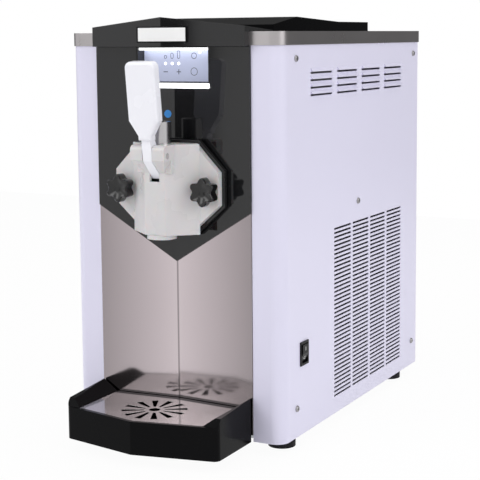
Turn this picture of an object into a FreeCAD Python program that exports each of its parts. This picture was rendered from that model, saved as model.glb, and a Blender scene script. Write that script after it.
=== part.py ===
"""Countertop soft-serve ice cream maker, built piece by piece.

Every piece is drawn in one cabinet frame: x to the right, y backwards from the front plane of
the side panels, z up from their lower edge. Each piece is then placed by the same two values,
so that the whole machine stands on its feet at z = 0 with its box centred on the origin.
"""
import FreeCAD
import Part
import Sketcher
import math
import os
from types import SimpleNamespace

Vector = FreeCAD.Vector
Rotation = FreeCAD.Rotation

# Counts of what repeats
LOUVRE_COLUMNS = 4
LOUVRE_ROWS = 5
GRILLE_COLUMNS = 4
GRILLE_ROWS = 42
REAR_VENT_ROWS = 14
KNOB_LOBES = 7
GRID_SLOTS = 12
NOZZLE_POINTS = 6
FAN_BLADES = 5
BEATER_TURNS = 2
FIN_GROOVES = 24

# Shares of a larger size
ROCKER_ROOT = 0.8
MOTOR_CAP = 0.8
PLUNGER_CUP = 0.7
TONGUE_CHIN = 0.7
BLADE_ROOT = 0.9
DOME_SHOULDER = 0.72
DOME_CROWN = 0.3

# How near an edge must lie to a place to count as being there
CLOSE = 0.01

# Driving dimensions in millimetres, and angles in degrees
DRIVING = {
    # Cabinet shell
    "cabinet_width": 330,
    "cabinet_depth": 510,
    "panel_height": 534,
    "cover_lip": 18,
    "lip_overlap": 14,
    "sheet_gauge": 1.5,
    "corner_radius": 18,
    "strip_width": 45,
    "rear_flange": 18,
    "bulkhead_setback": 14,
    "pan_height": 22,
    "fit_gap": 0.3,
    "running_gap": 0.05,
    # Feet
    "foot_height": 16,
    "foot_diameter": 38,
    "foot_taper": 2,
    "foot_side_inset": 27,
    "foot_front_inset": 51,
    "foot_rear_inset": 55,
    # Pressed louvres and the ventilation grille in the side panels
    "louvre_length": 72.5,
    "louvre_column_pitch": 90.5,
    "louvre_first_column": 126,
    "louvre_bottom_row": 467,
    "louvre_row_pitch": 10.1,
    "louvre_rise": 4,
    "louvre_hood": 5,
    "louvre_slot": 3,
    "grille_length": 62,
    "grille_column_pitch": 68.2,
    "grille_first_column": 200.7,
    "grille_bottom_row": 26,
    "grille_row_pitch": 6.12,
    "grille_slot": 3,
    "vent_width": 180,
    "vent_bottom": 120,
    "vent_pitch": 12,
    "vent_slot": 4,
    "inlet_side_inset": 60,
    "inlet_z": 70,
    "inlet_width": 28,
    "inlet_height": 20,
    "inlet_depth": 24,
    # Panel screws
    "screw_diameter": 9,
    "screw_head": 2.6,
    "screw_front_inset": 42.5,
    "screw_rear_inset": 23,
    "screw_middle_y": 257,
    "screw_low_z": 40.5,
    "screw_middle_z": 302,
    "screw_high_z": 516,
    # Rocker switch on the right side
    "switch_y": 65.3,
    "switch_z": 113.6,
    "switch_width": 25,
    "switch_height": 33,
    "switch_rim": 3.2,
    "switch_flange": 2,
    "switch_body": 22,
    "rocker_tilt": 9,
    "rocker_rise": 2.2,
    "rocker_body": 6,
    # Splash panel and black front panel, folded to a shallow hollow V
    "fold_depth": 9,
    "splash_proud": 1,
    "splash_gauge": 1.2,
    "splash_bottom": 9,
    "splash_overlap": 14,
    "side_point_height": 312.5,
    "middle_point_height": 238.6,
    "front_panel_gauge": 2,
    # Recessed control panel
    "control_width": 110,
    "control_bottom": 485,
    "control_top": 531,
    "control_wall": 1.5,
    "control_depth": 20,
    "control_rim_y": 2,
    "key_plate_gauge": 2,
    "sill_drop": 8,
    "sill_proud": 5,
    "light_gauge": 3,
    # Hood over the front
    "hood_inset": 1.5,
    "hood_side_proud": 13.8,
    "hood_prow_proud": 28.8,
    "hood_drop": 1,
    "hood_side_top": 559.5,
    "hood_prow_top": 572,
    "hood_ridge_back": 565,
    "hood_back": 70,
    "hood_wall": 3,
    # Badge on the prow
    "badge_width": 80,
    "badge_bottom": 538.3,
    "badge_height": 21.3,
    "badge_border": 3.5,
    "badge_rise": 3.2,
    "badge_gauge": 0.8,
    # Hopper and lid
    "hopper_width": 204,
    "hopper_front": 95,
    "hopper_length": 290,
    "hopper_floor": 432,
    "hopper_gauge": 1.2,
    "hopper_rim": 8,
    "hopper_corner": 25,
    "lid_inset": 2,
    "lid_front": 71,
    "lid_back": 418,
    "lid_front_top": 561.5,
    "lid_crest_y": 147,
    "lid_crest_top": 572.5,
    "lid_step_y": 293,
    "lid_back_top": 566.3,
    "lid_wall": 4,
    "lid_corner": 10,
    "feed_tube_y": 200,
    "feed_tube_radius": 10,
    "feed_tube_wall": 2.5,
    "feed_tube_stand": 70,
    # Freezing cylinder, beater and drive along one axis
    "axis_z": 342,
    "barrel_radius": 48,
    "barrel_wall": 3,
    "barrel_length": 240,
    "barrel_end": 6,
    "jacket_wall": 7,
    "jacket_front": 24,
    "jacket_length": 196,
    "foam_wall": 19,
    "beater_gap": 0.6,
    "beater_ribbon": 9,
    "beater_gauge": 4,
    "beater_pitch": 96,
    "beater_hub": 7,
    "drive_radius": 8,
    "seal_width": 5,
    "seal_length": 4,
    "gearbox_width": 96,
    "gearbox_length": 62,
    "gearbox_socket": 20,
    "bracket_gauge": 4,
    "bracket_clearance": 8.5,
    "motor_radius": 44,
    "motor_length": 118,
    # Dispensing door
    "door_width": 160,
    "door_top": 404,
    "door_bottom": 282,
    "door_top_width": 87,
    "door_bottom_width": 72,
    "door_side_top": 366,
    "door_side_bottom": 321.5,
    "door_back": 9,
    "door_plate": 10,
    "column_front": 49.5,
    "column_face": 32,
    "column_base": 104,
    "flange_lap": 4,
    "flange_plate": 6.5,
    "spigot_wall": 9,
    "seal_groove": 2.4,
    "seal_squeeze": 0.2,
    "port_z": 300,
    "port_radius": 8,
    # Plunger valve and nozzle
    "plunger_y": 32,
    "plunger_radius": 14.5,
    "plunger_bottom": 288,
    "plunger_top": 433.5,
    "nozzle_radius": 20.2,
    "nozzle_drop": 6,
    "nozzle_hole": 11,
    "nozzle_notch": 3,
    # Draw handle in its clevis
    "pivot_y": 58,
    "pivot_z": 390,
    "pin_radius": 4,
    "clevis_front": 68,
    "clevis_width": 52,
    "clevis_shoulder": 384,
    "clevis_foot": 366,
    "clevis_round": 7,
    "slot_width": 15,
    "slot_bottom": 354,
    "handle_lean": 6.4,
    "handle_width": 45,
    "handle_face": 14.5,
    "handle_thickness": 14,
    "handle_top": 126,
    "handle_shoulder": 48,
    "handle_neck_top": 28,
    "handle_neck": 22,
    "handle_neck_width": 19.4,
    "handle_round": 8,
    "handle_edge": 4.5,
    "tongue_back": 9,
    "nose_reach": 15.8,
    "nose_drop": 29.9,
    "nose_half": 4,
    "nose_play": 2,
    "nose_notch": 9,
    "nose_lift": 9,
    # Star knobs on the door studs
    "knob_x": 65.5,
    "knob_diameter": 39,
    "knob_length": 17,
    "knob_neck": 5,
    "knob_neck_radius": 9,
    "knob_scallop": 5.6,
    "knob_edge": 2.5,
    "stud_radius": 4,
    "stud_play": 0.5,
    "stud_reach": 36,
    # Drip tray, its bracket and its grid
    "tray_reach": 121,
    "tray_corner_reach": 97,
    "tray_inset": 2,
    "tray_height": 45,
    "tray_gap": 2,
    "tray_wall": 5,
    "tray_floor": 12,
    "tray_corner": 9,
    "wing_width": 22,
    "wing_front_top": 55,
    "wing_back_top": 61,
    "wing_front_reach": 88,
    "grid_front_lip": 6,
    "grid_back_lip": 9,
    "grid_gauge": 1.5,
    "grid_ledge": 5,
    "grid_hub_reach": 57.8,
    "grid_hub_hole": 5,
    "ray_start": 13,
    "ray_end": 40,
    "ray_start_width": 2.4,
    "ray_end_width": 7,
    "bracket_width": 124,
    "bracket_reach": 84,
    "bracket_bottom": 2,
    "bracket_top": 6.5,
    "bracket_upstand": 34,
    # Refrigeration behind the grille
    "condenser_front": 168,
    "condenser_length": 272,
    "condenser_bottom": 22,
    "condenser_height": 262,
    "condenser_gap": 12,
    "condenser_depth": 38,
    "fin_depth": 6,
    "fin_groove": 5,
    "shroud_depth": 8,
    "fan_radius": 102,
    "fan_clearance": 4,
    "fan_depth": 22,
    "fan_hub": 20,
    "blade_gauge": 3,
    "blade_pitch": 28,
    "fan_standoff": 6,
    "fan_shaft": 4,
    "fan_motor_radius": 32,
    "fan_motor_length": 38,
    "strap_gauge": 3,
    "strap_width": 26,
    "compressor_x": -72,
    "compressor_y": 392,
    "compressor_radius": 62,
    "compressor_height": 150,
    "compressor_dome": 34,
    "compressor_foot": 10,
    "drier_radius": 11,
    "drier_length": 90,
    # Electronics
    "box_width": 52,
    "box_front": 30,
    "box_length": 130,
    "box_bottom": 296,
    "box_height": 120,
}


class Size:
    """A length that carries its number and the expression that gives it."""

    def __init__(self, number, text):
        self.number = float(number)
        self.text = text

    def __add__(self, other):
        other = as_size(other)
        return Size(self.number + other.number, f"({self.text} + {other.text})")

    def __sub__(self, other):
        other = as_size(other)
        return Size(self.number - other.number, f"({self.text} - {other.text})")

    def __mul__(self, other):
        other = as_size(other)
        return Size(self.number * other.number, f"({self.text} * {other.text})")

    def __truediv__(self, other):
        other = as_size(other)
        return Size(self.number / other.number, f"({self.text} / {other.text})")

    def __neg__(self):
        return Size(-self.number, f"(0 - {self.text})")

    def __radd__(self, other):
        return as_size(other) + self

    def __rsub__(self, other):
        return as_size(other) - self

    def __rmul__(self, other):
        return as_size(other) * self


def as_size(value):
    """Give a plain number the form of a size."""
    if isinstance(value, Size):
        return value
    return Size(value, f"({value})")


def write_sheet():
    """Write the driving dimensions to a sheet and return them as sizes by name."""
    sheet = doc.addObject("Spreadsheet::Sheet", "Sizes")
    sizes = {}
    for row, (alias, value) in enumerate(DRIVING.items(), start=1):
        sheet.set(f"A{row}", alias)
        sheet.set(f"B{row}", str(value))
        sheet.setAlias(f"B{row}", alias)
        sizes[alias] = Size(value, f"Sizes.{alias}")
    doc.recompute()
    return SimpleNamespace(**sizes)


doc = FreeCAD.newDocument("IceCreamMaker")
d = write_sheet()
subparts = {}

# Places that several pieces share
half = d.cabinet_width / 2
inner_half = half - d.sheet_gauge
overhang = d.fit_gap + d.sheet_gauge
front_y = (d.tray_reach - d.cabinet_depth - overhang) / 2
opening_half = half - d.strip_width
cover_top = d.panel_height + d.cover_lip
panel_top = d.panel_height + d.lip_overlap
bulkhead_back = d.bulkhead_setback + d.sheet_gauge
rear_panel_back = d.cabinet_depth - d.sheet_gauge
rear_panel_front = rear_panel_back - d.sheet_gauge
barrel_outer = d.barrel_radius + d.barrel_wall
jacket_outer = barrel_outer + d.fit_gap + d.jacket_wall
foam_outer = jacket_outer + d.fit_gap + d.foam_wall
barrel_back = d.barrel_length - d.door_back
fan_y = d.condenser_front + d.condenser_length / 2
fan_z = d.condenser_bottom + d.condenser_height / 2
condenser_outer = inner_half - d.condenser_gap
shroud_outer = condenser_outer - d.condenser_depth
shroud_inner = shroud_outer - d.shroud_depth
fan_back = shroud_inner - d.fan_depth
strap_outer = fan_back - d.fan_standoff
strap_inner = strap_outer - d.strap_gauge
bracket_half = strap_inner - d.fan_motor_length - d.bracket_clearance
hood_half = opening_half - d.hood_inset
lid_half = opening_half - d.lid_inset
tray_half = opening_half - d.tray_inset
inlet_x = d.inlet_side_inset - half


def bind(item, name, value):
    """Tie one property of an object to the sheet."""
    item.setExpression(name, as_size(value).text)


def keep(label, item):
    """Place a finished piece in the machine and list it under its label."""
    item.Label = label
    bind(item, "Placement.Base.y", front_y)
    bind(item, "Placement.Base.z", d.foot_height)
    subparts[label] = item
    return item


def new_body(label):
    """Start a piece in the cabinet frame."""
    return keep(label, doc.addObject("PartDesign::Body", label))


def draw(body, view, at=0):
    """Start a sketch seen in plan, from the front or from the side, at a height, y or x."""
    role = {"plan": "XY_Plane", "front": "XZ_Plane", "side": "YZ_Plane"}[view]
    sketch = body.newObject("Sketcher::SketchObject", f"{body.Name}_{view}")
    plane = [item for item in body.Origin.OriginFeatures if item.Role == role][0]
    sketch.AttachmentSupport = [(plane, "")]
    sketch.MapMode = "FlatFace"
    level = as_size(at)
    bind(sketch, "AttachmentOffset.Base.z", -level if view == "front" else level)
    return sketch


def fix_point(sketch, line, end, point):
    """Hold one end of a line, or a centre, at a place."""
    for kind, value in zip(("DistanceX", "DistanceY"), point):
        value = as_size(value)
        index = sketch.addConstraint(Sketcher.Constraint(kind, -1, 1, line, end, value.number))
        bind(sketch, f"Constraints[{index}]", value)


def flat(point):
    """Turn a pair of sizes into a vector in the sketch."""
    return Vector(as_size(point[0]).number, as_size(point[1]).number, 0)


def polygon(sketch, corners):
    """Draw a closed outline through the given corners."""
    first = sketch.GeometryCount
    count = len(corners)
    for index in range(count):
        edge = Part.LineSegment(flat(corners[index]), flat(corners[(index + 1) % count]))
        sketch.addGeometry(edge, False)
    for index in range(count):
        following = first + (index + 1) % count
        sketch.addConstraint(Sketcher.Constraint("Coincident", first + index, 2, following, 1))
        fix_point(sketch, first + index, 1, corners[index])
    return sketch


def rectangle(sketch, left, right, low, high):
    """Draw a rectangle."""
    return polygon(sketch, [(left, low), (right, low), (right, high), (left, high)])


def circle(sketch, x, y, radius):
    """Draw a circle."""
    radius = as_size(radius)
    index = sketch.addGeometry(Part.Circle(flat((x, y)), Vector(0, 0, 1), radius.number), False)
    fix_point(sketch, index, 3, (x, y))
    rule = sketch.addConstraint(Sketcher.Constraint("Radius", index, radius.number))
    bind(sketch, f"Constraints[{rule}]", radius)
    return sketch


def rounded_rectangle(sketch, left, right, low, high, near, far=None):
    """Draw a rectangle with round corners, of one radius near and another on the far side."""
    first = sketch.GeometryCount
    if far is None:
        far = near
    centres = [
        (right - near, low + near),
        (right - far, high - far),
        (left + far, high - far),
        (left + near, low + near),
    ]
    radii = [near, far, far, near]
    for quarter, centre in enumerate(centres):
        start = math.pi / 2 * (quarter - 1)
        ring = Part.Circle(flat(centre), Vector(0, 0, 1), radii[quarter].number)
        sketch.addGeometry(Part.ArcOfCircle(ring, start, start + math.pi / 2), False)
    for quarter in range(4):
        begin = sketch.getPoint(first + quarter, 2)
        end = sketch.getPoint(first + (quarter + 1) % 4, 1)
        sketch.addGeometry(Part.LineSegment(begin, end), False)
    for quarter, centre in enumerate(centres):
        arc = first + quarter
        line = first + 4 + quarter
        fix_point(sketch, arc, 3, centre)
        rule = sketch.addConstraint(Sketcher.Constraint("Radius", arc, radii[quarter].number))
        bind(sketch, f"Constraints[{rule}]", radii[quarter])
        sketch.addConstraint(Sketcher.Constraint("Tangent", arc, 2, line, 1))
        sketch.addConstraint(Sketcher.Constraint("Tangent", line, 2, first + (quarter + 1) % 4, 1))
    return sketch


def both_sides(right):
    """Mirror the right half of an outline to the left."""
    left = [(-x, y) for x, y in reversed(right) if as_size(x).number != 0]
    return right + left


def pad(body, sketch, length, backwards=False):
    """Raise a sketch: up from a plan, forwards from a front view, to the right from a side view."""
    feature = body.newObject("PartDesign::Pad", f"{sketch.Name}_pad")
    feature.Profile = sketch
    bind(feature, "Length", length)
    feature.Reversed = backwards
    body.Tip = feature
    return feature


def cut(body, sketch, depth, backwards=False):
    """Sink a sketch the other way: down, backwards or to the left."""
    feature = body.newObject("PartDesign::Pocket", f"{sketch.Name}_cut")
    feature.Profile = sketch
    bind(feature, "Length", depth)
    feature.Reversed = backwards
    body.Tip = feature
    return feature


def revolve(body, sketch, axis):
    """Turn a sketch a full turn about one of its own axes."""
    feature = body.newObject("PartDesign::Revolution", f"{sketch.Name}_turn")
    feature.Profile = sketch
    feature.ReferenceAxis = (sketch, [axis])
    feature.Angle = 360
    body.Tip = feature
    return feature


def origin_axis(body, role):
    """Find one of a body's own axes."""
    return [item for item in body.Origin.OriginFeatures if item.Role == role][0]


def in_rows(body, feature, axis, count, spacing, second=None):
    """Repeat a feature at a steady spacing along one axis, or along two."""
    pattern = body.newObject("PartDesign::LinearPattern", f"{feature.Name}_rows")
    pattern.Originals = [feature]
    pattern.Direction = (origin_axis(body, axis), [""])
    pattern.Mode = "Spacing"
    pattern.Occurrences = count
    bind(pattern, "Offset", spacing)
    if second:
        pattern.Direction2 = (origin_axis(body, second[0]), [""])
        pattern.Mode2 = "Spacing"
        pattern.Occurrences2 = second[1]
        bind(pattern, "Offset2", second[2])
    body.Tip = pattern
    return pattern


def in_a_ring(body, feature, sketch, count):
    """Repeat a feature round the normal of its sketch."""
    pattern = body.newObject("PartDesign::PolarPattern", f"{feature.Name}_ring")
    pattern.Originals = [feature]
    pattern.Axis = (sketch, ["N_Axis"])
    pattern.Angle = 360
    pattern.Occurrences = count
    body.Tip = pattern
    return pattern


def round_edges(body, radius, wanted):
    """Round each edge of a body whose box passes the test."""
    doc.recompute()
    solid = body.Tip
    names = [f"Edge{n}" for n, edge in enumerate(solid.Shape.Edges, 1) if wanted(edge.BoundBox)]
    if not names:
        raise ValueError(f"{body.Label} has no edge to round")
    feature = body.newObject("PartDesign::Fillet", f"{body.Name}_round")
    feature.Base = (solid, names)
    bind(feature, "Radius", radius)
    body.Tip = feature
    return feature


def upright(box, x=None, y=None):
    """Tell whether an edge is vertical, and at a given x or y."""
    straight = box.XLength < CLOSE and box.YLength < CLOSE and box.ZLength > CLOSE
    at_x = x is None or abs(box.XMin - as_size(x).number) < CLOSE
    at_y = y is None or abs(box.YMin - as_size(y).number) < CLOSE
    return straight and at_x and at_y


def fold_y(x, edge):
    """Give the y of the hollow front fold at a distance from the middle."""
    return edge + d.fold_depth * (1 - as_size(x) / opening_half)


# Cabinet

def make_foot(label, side, y):
    """A tapered rubber foot under one corner."""
    foot = new_body(label)
    middle = side * (half - d.foot_side_inset)
    radius = d.foot_diameter / 2
    base = circle(draw(foot, "plan", -d.foot_height), middle, y, radius)
    pad(foot, base, d.foot_height / 2)
    top = circle(draw(foot, "plan", -d.foot_height / 2), middle, y, radius - d.foot_taper)
    pad(foot, top, d.foot_height / 2)


def make_base_pan():
    """A folded floor with an upstand all round."""
    pan = new_body("base_pan")
    side = inner_half - d.fit_gap
    back = rear_panel_front
    block = rectangle(draw(pan, "plan"), -side, side, bulkhead_back, back)
    pad(pan, block, d.pan_height)
    wall = d.sheet_gauge
    hollow = draw(pan, "plan", d.pan_height)
    rectangle(hollow, wall - side, side - wall, bulkhead_back + wall, back - wall)
    cut(pan, hollow, d.pan_height - wall)
    front = bulkhead_back
    round_edges(pan, d.sheet_gauge, lambda box: upright(box, y=front))


def make_bulkhead():
    """The upright front plate that carries the cylinder, the door studs and the front panels."""
    plate = new_body("front_bulkhead")
    side = inner_half - 2 * d.sheet_gauge
    outline = rectangle(draw(plate, "front", bulkhead_back), -side, side, 0, panel_top)
    circle(outline, 0, d.axis_z, barrel_outer + d.fit_gap)
    window = d.control_width / 2 + d.control_wall + d.fit_gap
    low = d.control_bottom - d.control_wall - d.fit_gap
    high = d.control_top + d.control_wall + d.fit_gap
    rectangle(outline, -window, window, low, high)
    pad(plate, outline, d.sheet_gauge)


def side_outline(side):
    """The folded section of a side panel: front strip, side and rear flange."""
    wall = d.sheet_gauge
    depth = d.cabinet_depth
    flange = half - d.rear_flange
    outline = [
        (opening_half, 0),
        (half, 0),
        (half, depth),
        (flange, depth),
        (flange, depth - wall),
        (inner_half, depth - wall),
        (inner_half, wall),
        (opening_half + wall, wall),
        (opening_half + wall, d.bulkhead_setback),
        (opening_half, d.bulkhead_setback),
    ]
    return [(side * x, y) for x, y in outline]


def make_side_panel(label, side):
    """A wrapped side panel with pressed louvres above and a punched grille below."""
    panel = new_body(label)
    pad(panel, polygon(draw(panel, "plan"), side_outline(side)), panel_top)
    outer_x = side * half
    inner_x = side * inner_half
    round_edges(panel, d.corner_radius, lambda box: upright(box, x=outer_x, y=0))
    inner_radius = d.corner_radius - d.sheet_gauge
    round_edges(panel, inner_radius, lambda box: upright(box, x=inner_x, y=d.sheet_gauge))
    add_louvres(panel, side)
    punch_grille(panel, side)
    return panel


def add_louvres(panel, side):
    """Columns of pressed louvres, each a hood with its slot below."""
    first = d.louvre_first_column
    low = d.louvre_bottom_row
    hood = draw(panel, "front", first + d.louvre_length / 2)
    tip = side * (half + d.louvre_rise)
    polygon(hood, [(side * half, low), (tip, low), (side * half, low + d.louvre_hood)])
    raised = pad(panel, hood, d.louvre_length)
    rows = ("Z_Axis", LOUVRE_ROWS, d.louvre_row_pitch)
    in_rows(panel, raised, "Y_Axis", LOUVRE_COLUMNS, d.louvre_column_pitch, rows)
    slot = draw(panel, "side", side * half + d.sheet_gauge)
    left = first - d.louvre_length / 2
    rectangle(slot, left, left + d.louvre_length, low - d.louvre_slot, low)
    opened = cut(panel, slot, 3 * d.sheet_gauge)
    in_rows(panel, opened, "Y_Axis", LOUVRE_COLUMNS, d.louvre_column_pitch, rows)


def punch_grille(panel, side):
    """Columns of narrow ventilation slots, row upon row."""
    slot = draw(panel, "side", side * half + d.sheet_gauge)
    low = d.grille_bottom_row - d.grille_slot / 2
    left = d.grille_first_column - d.grille_length / 2
    rectangle(slot, left, left + d.grille_length, low, low + d.grille_slot)
    opened = cut(panel, slot, 3 * d.sheet_gauge)
    rows = ("Z_Axis", GRILLE_ROWS, d.grille_row_pitch)
    in_rows(panel, opened, "Y_Axis", GRILLE_COLUMNS, d.grille_column_pitch, rows)


def cut_switch_hole(panel):
    """The window that the rocker switch snaps into."""
    hole = draw(panel, "side", half + d.sheet_gauge)
    wide = d.switch_width / 2 - d.switch_flange + d.fit_gap
    tall = d.switch_height / 2 - d.switch_flange + d.fit_gap
    y, z = d.switch_y, d.switch_z
    rectangle(hole, y - wide, y + wide, z - tall, z + tall)
    cut(panel, hole, 3 * d.sheet_gauge)


def make_rear_panel():
    """The flat rear sheet with air slots and the window of the power inlet."""
    panel = new_body("rear_panel")
    side = inner_half - d.fit_gap
    sheet = rectangle(draw(panel, "front", rear_panel_back), -side, side, 0, panel_top)
    pad(panel, sheet, d.sheet_gauge)
    slot = draw(panel, "front", rear_panel_front)
    reach = d.vent_width / 2
    rectangle(slot, -reach, reach, d.vent_bottom, d.vent_bottom + d.vent_slot)
    opened = cut(panel, slot, d.sheet_gauge)
    in_rows(panel, opened, "Z_Axis", REAR_VENT_ROWS, d.vent_pitch)
    window = draw(panel, "front", rear_panel_front)
    wide = d.inlet_width / 2 + d.fit_gap
    tall = d.inlet_height / 2 + d.fit_gap
    rectangle(window, inlet_x - wide, inlet_x + wide, d.inlet_z - tall, d.inlet_z + tall)
    cut(panel, window, d.sheet_gauge)


def make_power_inlet():
    """A recessed appliance inlet, flush with the rear panel."""
    inlet = new_body("power_inlet")
    x, z = inlet_x, d.inlet_z
    wide = d.inlet_width / 2
    tall = d.inlet_height / 2
    wall = d.sheet_gauge
    back = rear_panel_back
    body = rectangle(draw(inlet, "front", back), x - wide, x + wide, z - tall, z + tall)
    pad(inlet, body, d.inlet_depth)
    collar = draw(inlet, "front", rear_panel_front)
    rim = 2 * wall
    rectangle(collar, x - wide - rim, x + wide + rim, z - tall - rim, z + tall + rim)
    pad(inlet, collar, wall)
    well = draw(inlet, "front", back)
    rectangle(well, x - wide + wall, x + wide - wall, z - tall + wall, z + tall - wall)
    cut(inlet, well, d.inlet_depth - 2 * wall, backwards=True)


def make_top_cover():
    """The stainless cover whose lip wraps the top of the cabinet."""
    cover = new_body("top_cover")
    side = half + overhang
    front = -overhang
    back = d.cabinet_depth + overhang
    block = draw(cover, "plan", d.panel_height)
    rounded_rectangle(block, -side, side, front, back, d.corner_radius + overhang, overhang)
    pad(cover, block, d.cover_lip)
    wall = d.sheet_gauge
    hollow = draw(cover, "plan", d.panel_height)
    near = d.corner_radius + d.fit_gap
    rounded_rectangle(hollow, wall - side, side - wall, front + wall, back - wall, near, d.fit_gap)
    cut(cover, hollow, d.cover_lip - wall, backwards=True)
    opening = draw(cover, "plan", cover_top)
    play = d.hopper_gauge + d.fit_gap
    reach = d.hopper_width / 2 + play
    back = d.hopper_front + d.hopper_length + play
    rounded_rectangle(opening, -reach, reach, d.hopper_front - play, back, d.hopper_corner + play)
    cut(cover, opening, wall)


def make_screws():
    """Pan-head screws that hold the side panels, as one group."""
    heads = []
    front = d.screw_front_inset
    back = d.cabinet_depth - d.screw_rear_inset
    places = [
        (front, d.screw_low_z),
        (back, d.screw_low_z),
        (d.screw_middle_y, d.screw_middle_z),
        (front, d.screw_high_z),
        (back, d.screw_high_z),
    ]
    for side in (-1, 1):
        for y, z in places:
            head = doc.addObject("Part::Cone", "screw_head")
            bind(head, "Radius1", d.screw_diameter / 2)
            bind(head, "Radius2", d.screw_diameter / 2 - d.screw_head / 2)
            bind(head, "Height", d.screw_head)
            head.Placement.Rotation = Rotation(Vector(0, 1, 0), side * 90)
            bind(head, "Placement.Base.x", side * half)
            bind(head, "Placement.Base.y", y)
            bind(head, "Placement.Base.z", z)
            heads.append(head)
    group = doc.addObject("Part::Compound", "panel_screws")
    group.Links = heads
    keep("panel_screws", group)


# Rocker switch

def make_switch_bezel():
    """The snap-in switch housing with its rim on the outside of the panel."""
    bezel = new_body("switch_bezel")
    y, z = d.switch_y, d.switch_z
    wide, tall = d.switch_width / 2, d.switch_height / 2
    rim = rectangle(draw(bezel, "side", half), y - wide, y + wide, z - tall, z + tall)
    pad(bezel, rim, d.switch_flange)
    inner_wide, inner_tall = wide - d.switch_flange, tall - d.switch_flange
    plug = draw(bezel, "side", half - d.switch_body)
    rectangle(plug, y - inner_wide, y + inner_wide, z - inner_tall, z + inner_tall)
    pad(bezel, plug, d.switch_body)
    well = draw(bezel, "side", half + d.switch_flange)
    well_wide, well_tall = wide - d.switch_rim, tall - d.switch_rim
    rectangle(well, y - well_wide, y + well_wide, z - well_tall, z + well_tall)
    cut(bezel, well, d.switch_flange + d.switch_body / 2)


def make_rocker():
    """The rocking key, tipped so that its lower end stands out."""
    rocker = new_body("rocker")
    wide = d.switch_width / 2 - d.switch_rim - d.fit_gap
    tall = d.switch_height / 2 - d.switch_rim - 2 * d.fit_gap
    slope = tall * math.tan(math.radians(d.rocker_tilt.number))
    crown = d.rocker_rise
    face = draw(rocker, "front", wide)
    polygon(face, [
        (crown, 0),
        (crown - slope, tall),
        (-d.rocker_body, tall * ROCKER_ROOT),
        (-d.rocker_body, -tall * ROCKER_ROOT),
        (crown - slope, -tall),
    ])
    pad(rocker, face, 2 * wide)
    rocker.Placement.Rotation = Rotation(Vector(0, 1, 0), d.rocker_tilt.number)
    bind(rocker, "Placement.Base.x", half + d.switch_flange / 2)
    bind(rocker, "Placement.Base.y", front_y + d.switch_y)
    bind(rocker, "Placement.Base.z", d.foot_height + d.switch_z)


# Front of the machine

def fold_section(edge, gauge, reach):
    """Give the folded section as one closed outline, front edge first."""
    back = d.bulkhead_setback
    right = [(reach, fold_y(reach, edge)), (reach, back), (reach - gauge, back),
             (reach - gauge, fold_y(reach - gauge, edge) + gauge)]
    left = [(-x, y) for x, y in reversed(right)]
    return [(0, fold_y(0, edge))] + right + [(0, fold_y(0, edge) + gauge)] + left


def make_splash_panel():
    """The folded stainless panel behind the cup, cut to a V along its top."""
    panel = new_body("splash_panel")
    reach = opening_half - d.fit_gap
    outline = fold_section(-d.splash_proud, d.splash_gauge, reach)
    low = d.splash_bottom
    side_top = d.side_point_height + d.splash_overlap
    middle_top = d.middle_point_height + d.splash_overlap
    pad(panel, polygon(draw(panel, "plan", low), outline), side_top - low)
    notch = draw(panel, "front", -2 * d.bulkhead_setback)
    polygon(notch, [(-reach, side_top), (0, middle_top), (reach, side_top)])
    cut(panel, notch, 4 * d.bulkhead_setback)


def panel_edge():
    """The y of the black panel's front face at its outer edges."""
    return -d.splash_proud - d.fit_gap - d.front_panel_gauge


def make_front_panel():
    """The glossy black panel: folded, pointed below, with windows for controls and barrel."""
    panel = new_body("front_panel")
    reach = opening_half - d.fit_gap
    outline = fold_section(panel_edge(), d.front_panel_gauge, reach)
    low = d.middle_point_height
    top = d.panel_height - d.hood_drop - d.fit_gap
    pad(panel, polygon(draw(panel, "plan", low), outline), top - low)
    nearest = -2 * d.bulkhead_setback
    through = 4 * d.bulkhead_setback
    for side in (-1, 1):
        corner = draw(panel, "front", nearest)
        polygon(corner, [(0, low), (side * reach, low), (side * reach, d.side_point_height)])
        cut(panel, corner, through)
    clear_side_flanges(panel, reach)
    windows = circle(draw(panel, "front", nearest), 0, d.axis_z, spigot_radius() + d.fit_gap)
    wide = d.control_width / 2 + d.control_wall + d.fit_gap
    bottom = d.control_bottom - d.sill_drop - d.fit_gap
    rectangle(windows, -wide, wide, bottom, d.control_top + d.control_wall)
    for side in (-1, 1):
        circle(windows, side * d.knob_x, d.axis_z, d.stud_radius + d.stud_play)
    cut(panel, windows, through)


def clear_side_flanges(panel, reach):
    """Cut the black panel's flanges away where the splash panel's own flanges stand."""
    top = d.side_point_height + d.splash_overlap + d.fit_gap
    room = draw(panel, "plan", top)
    inside = reach - 3 * d.front_panel_gauge
    behind = panel_edge() + d.front_panel_gauge
    for side in (-1, 1):
        corners = [
            (side * inside, fold_y(inside, behind)),
            (side * (reach + d.fit_gap), fold_y(reach + d.fit_gap, behind)),
            (side * (reach + d.fit_gap), 2 * d.bulkhead_setback),
            (side * inside, 2 * d.bulkhead_setback),
        ]
        polygon(room, corners)
    cut(panel, room, top)


def make_control_housing():
    """The deep black frame round the control panel."""
    housing = new_body("control_housing")
    wide = d.control_width / 2
    wall = d.control_wall
    back = d.control_rim_y + d.control_depth
    frame = draw(housing, "front", back)
    high = d.control_top + wall - d.fit_gap
    rectangle(frame, -wide - wall, wide + wall, d.control_bottom - wall, high)
    pad(housing, frame, d.control_depth)
    well = draw(housing, "front", d.control_rim_y)
    rectangle(well, -wide, wide, d.control_bottom, d.control_top)
    cut(housing, well, d.control_depth - wall)


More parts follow.
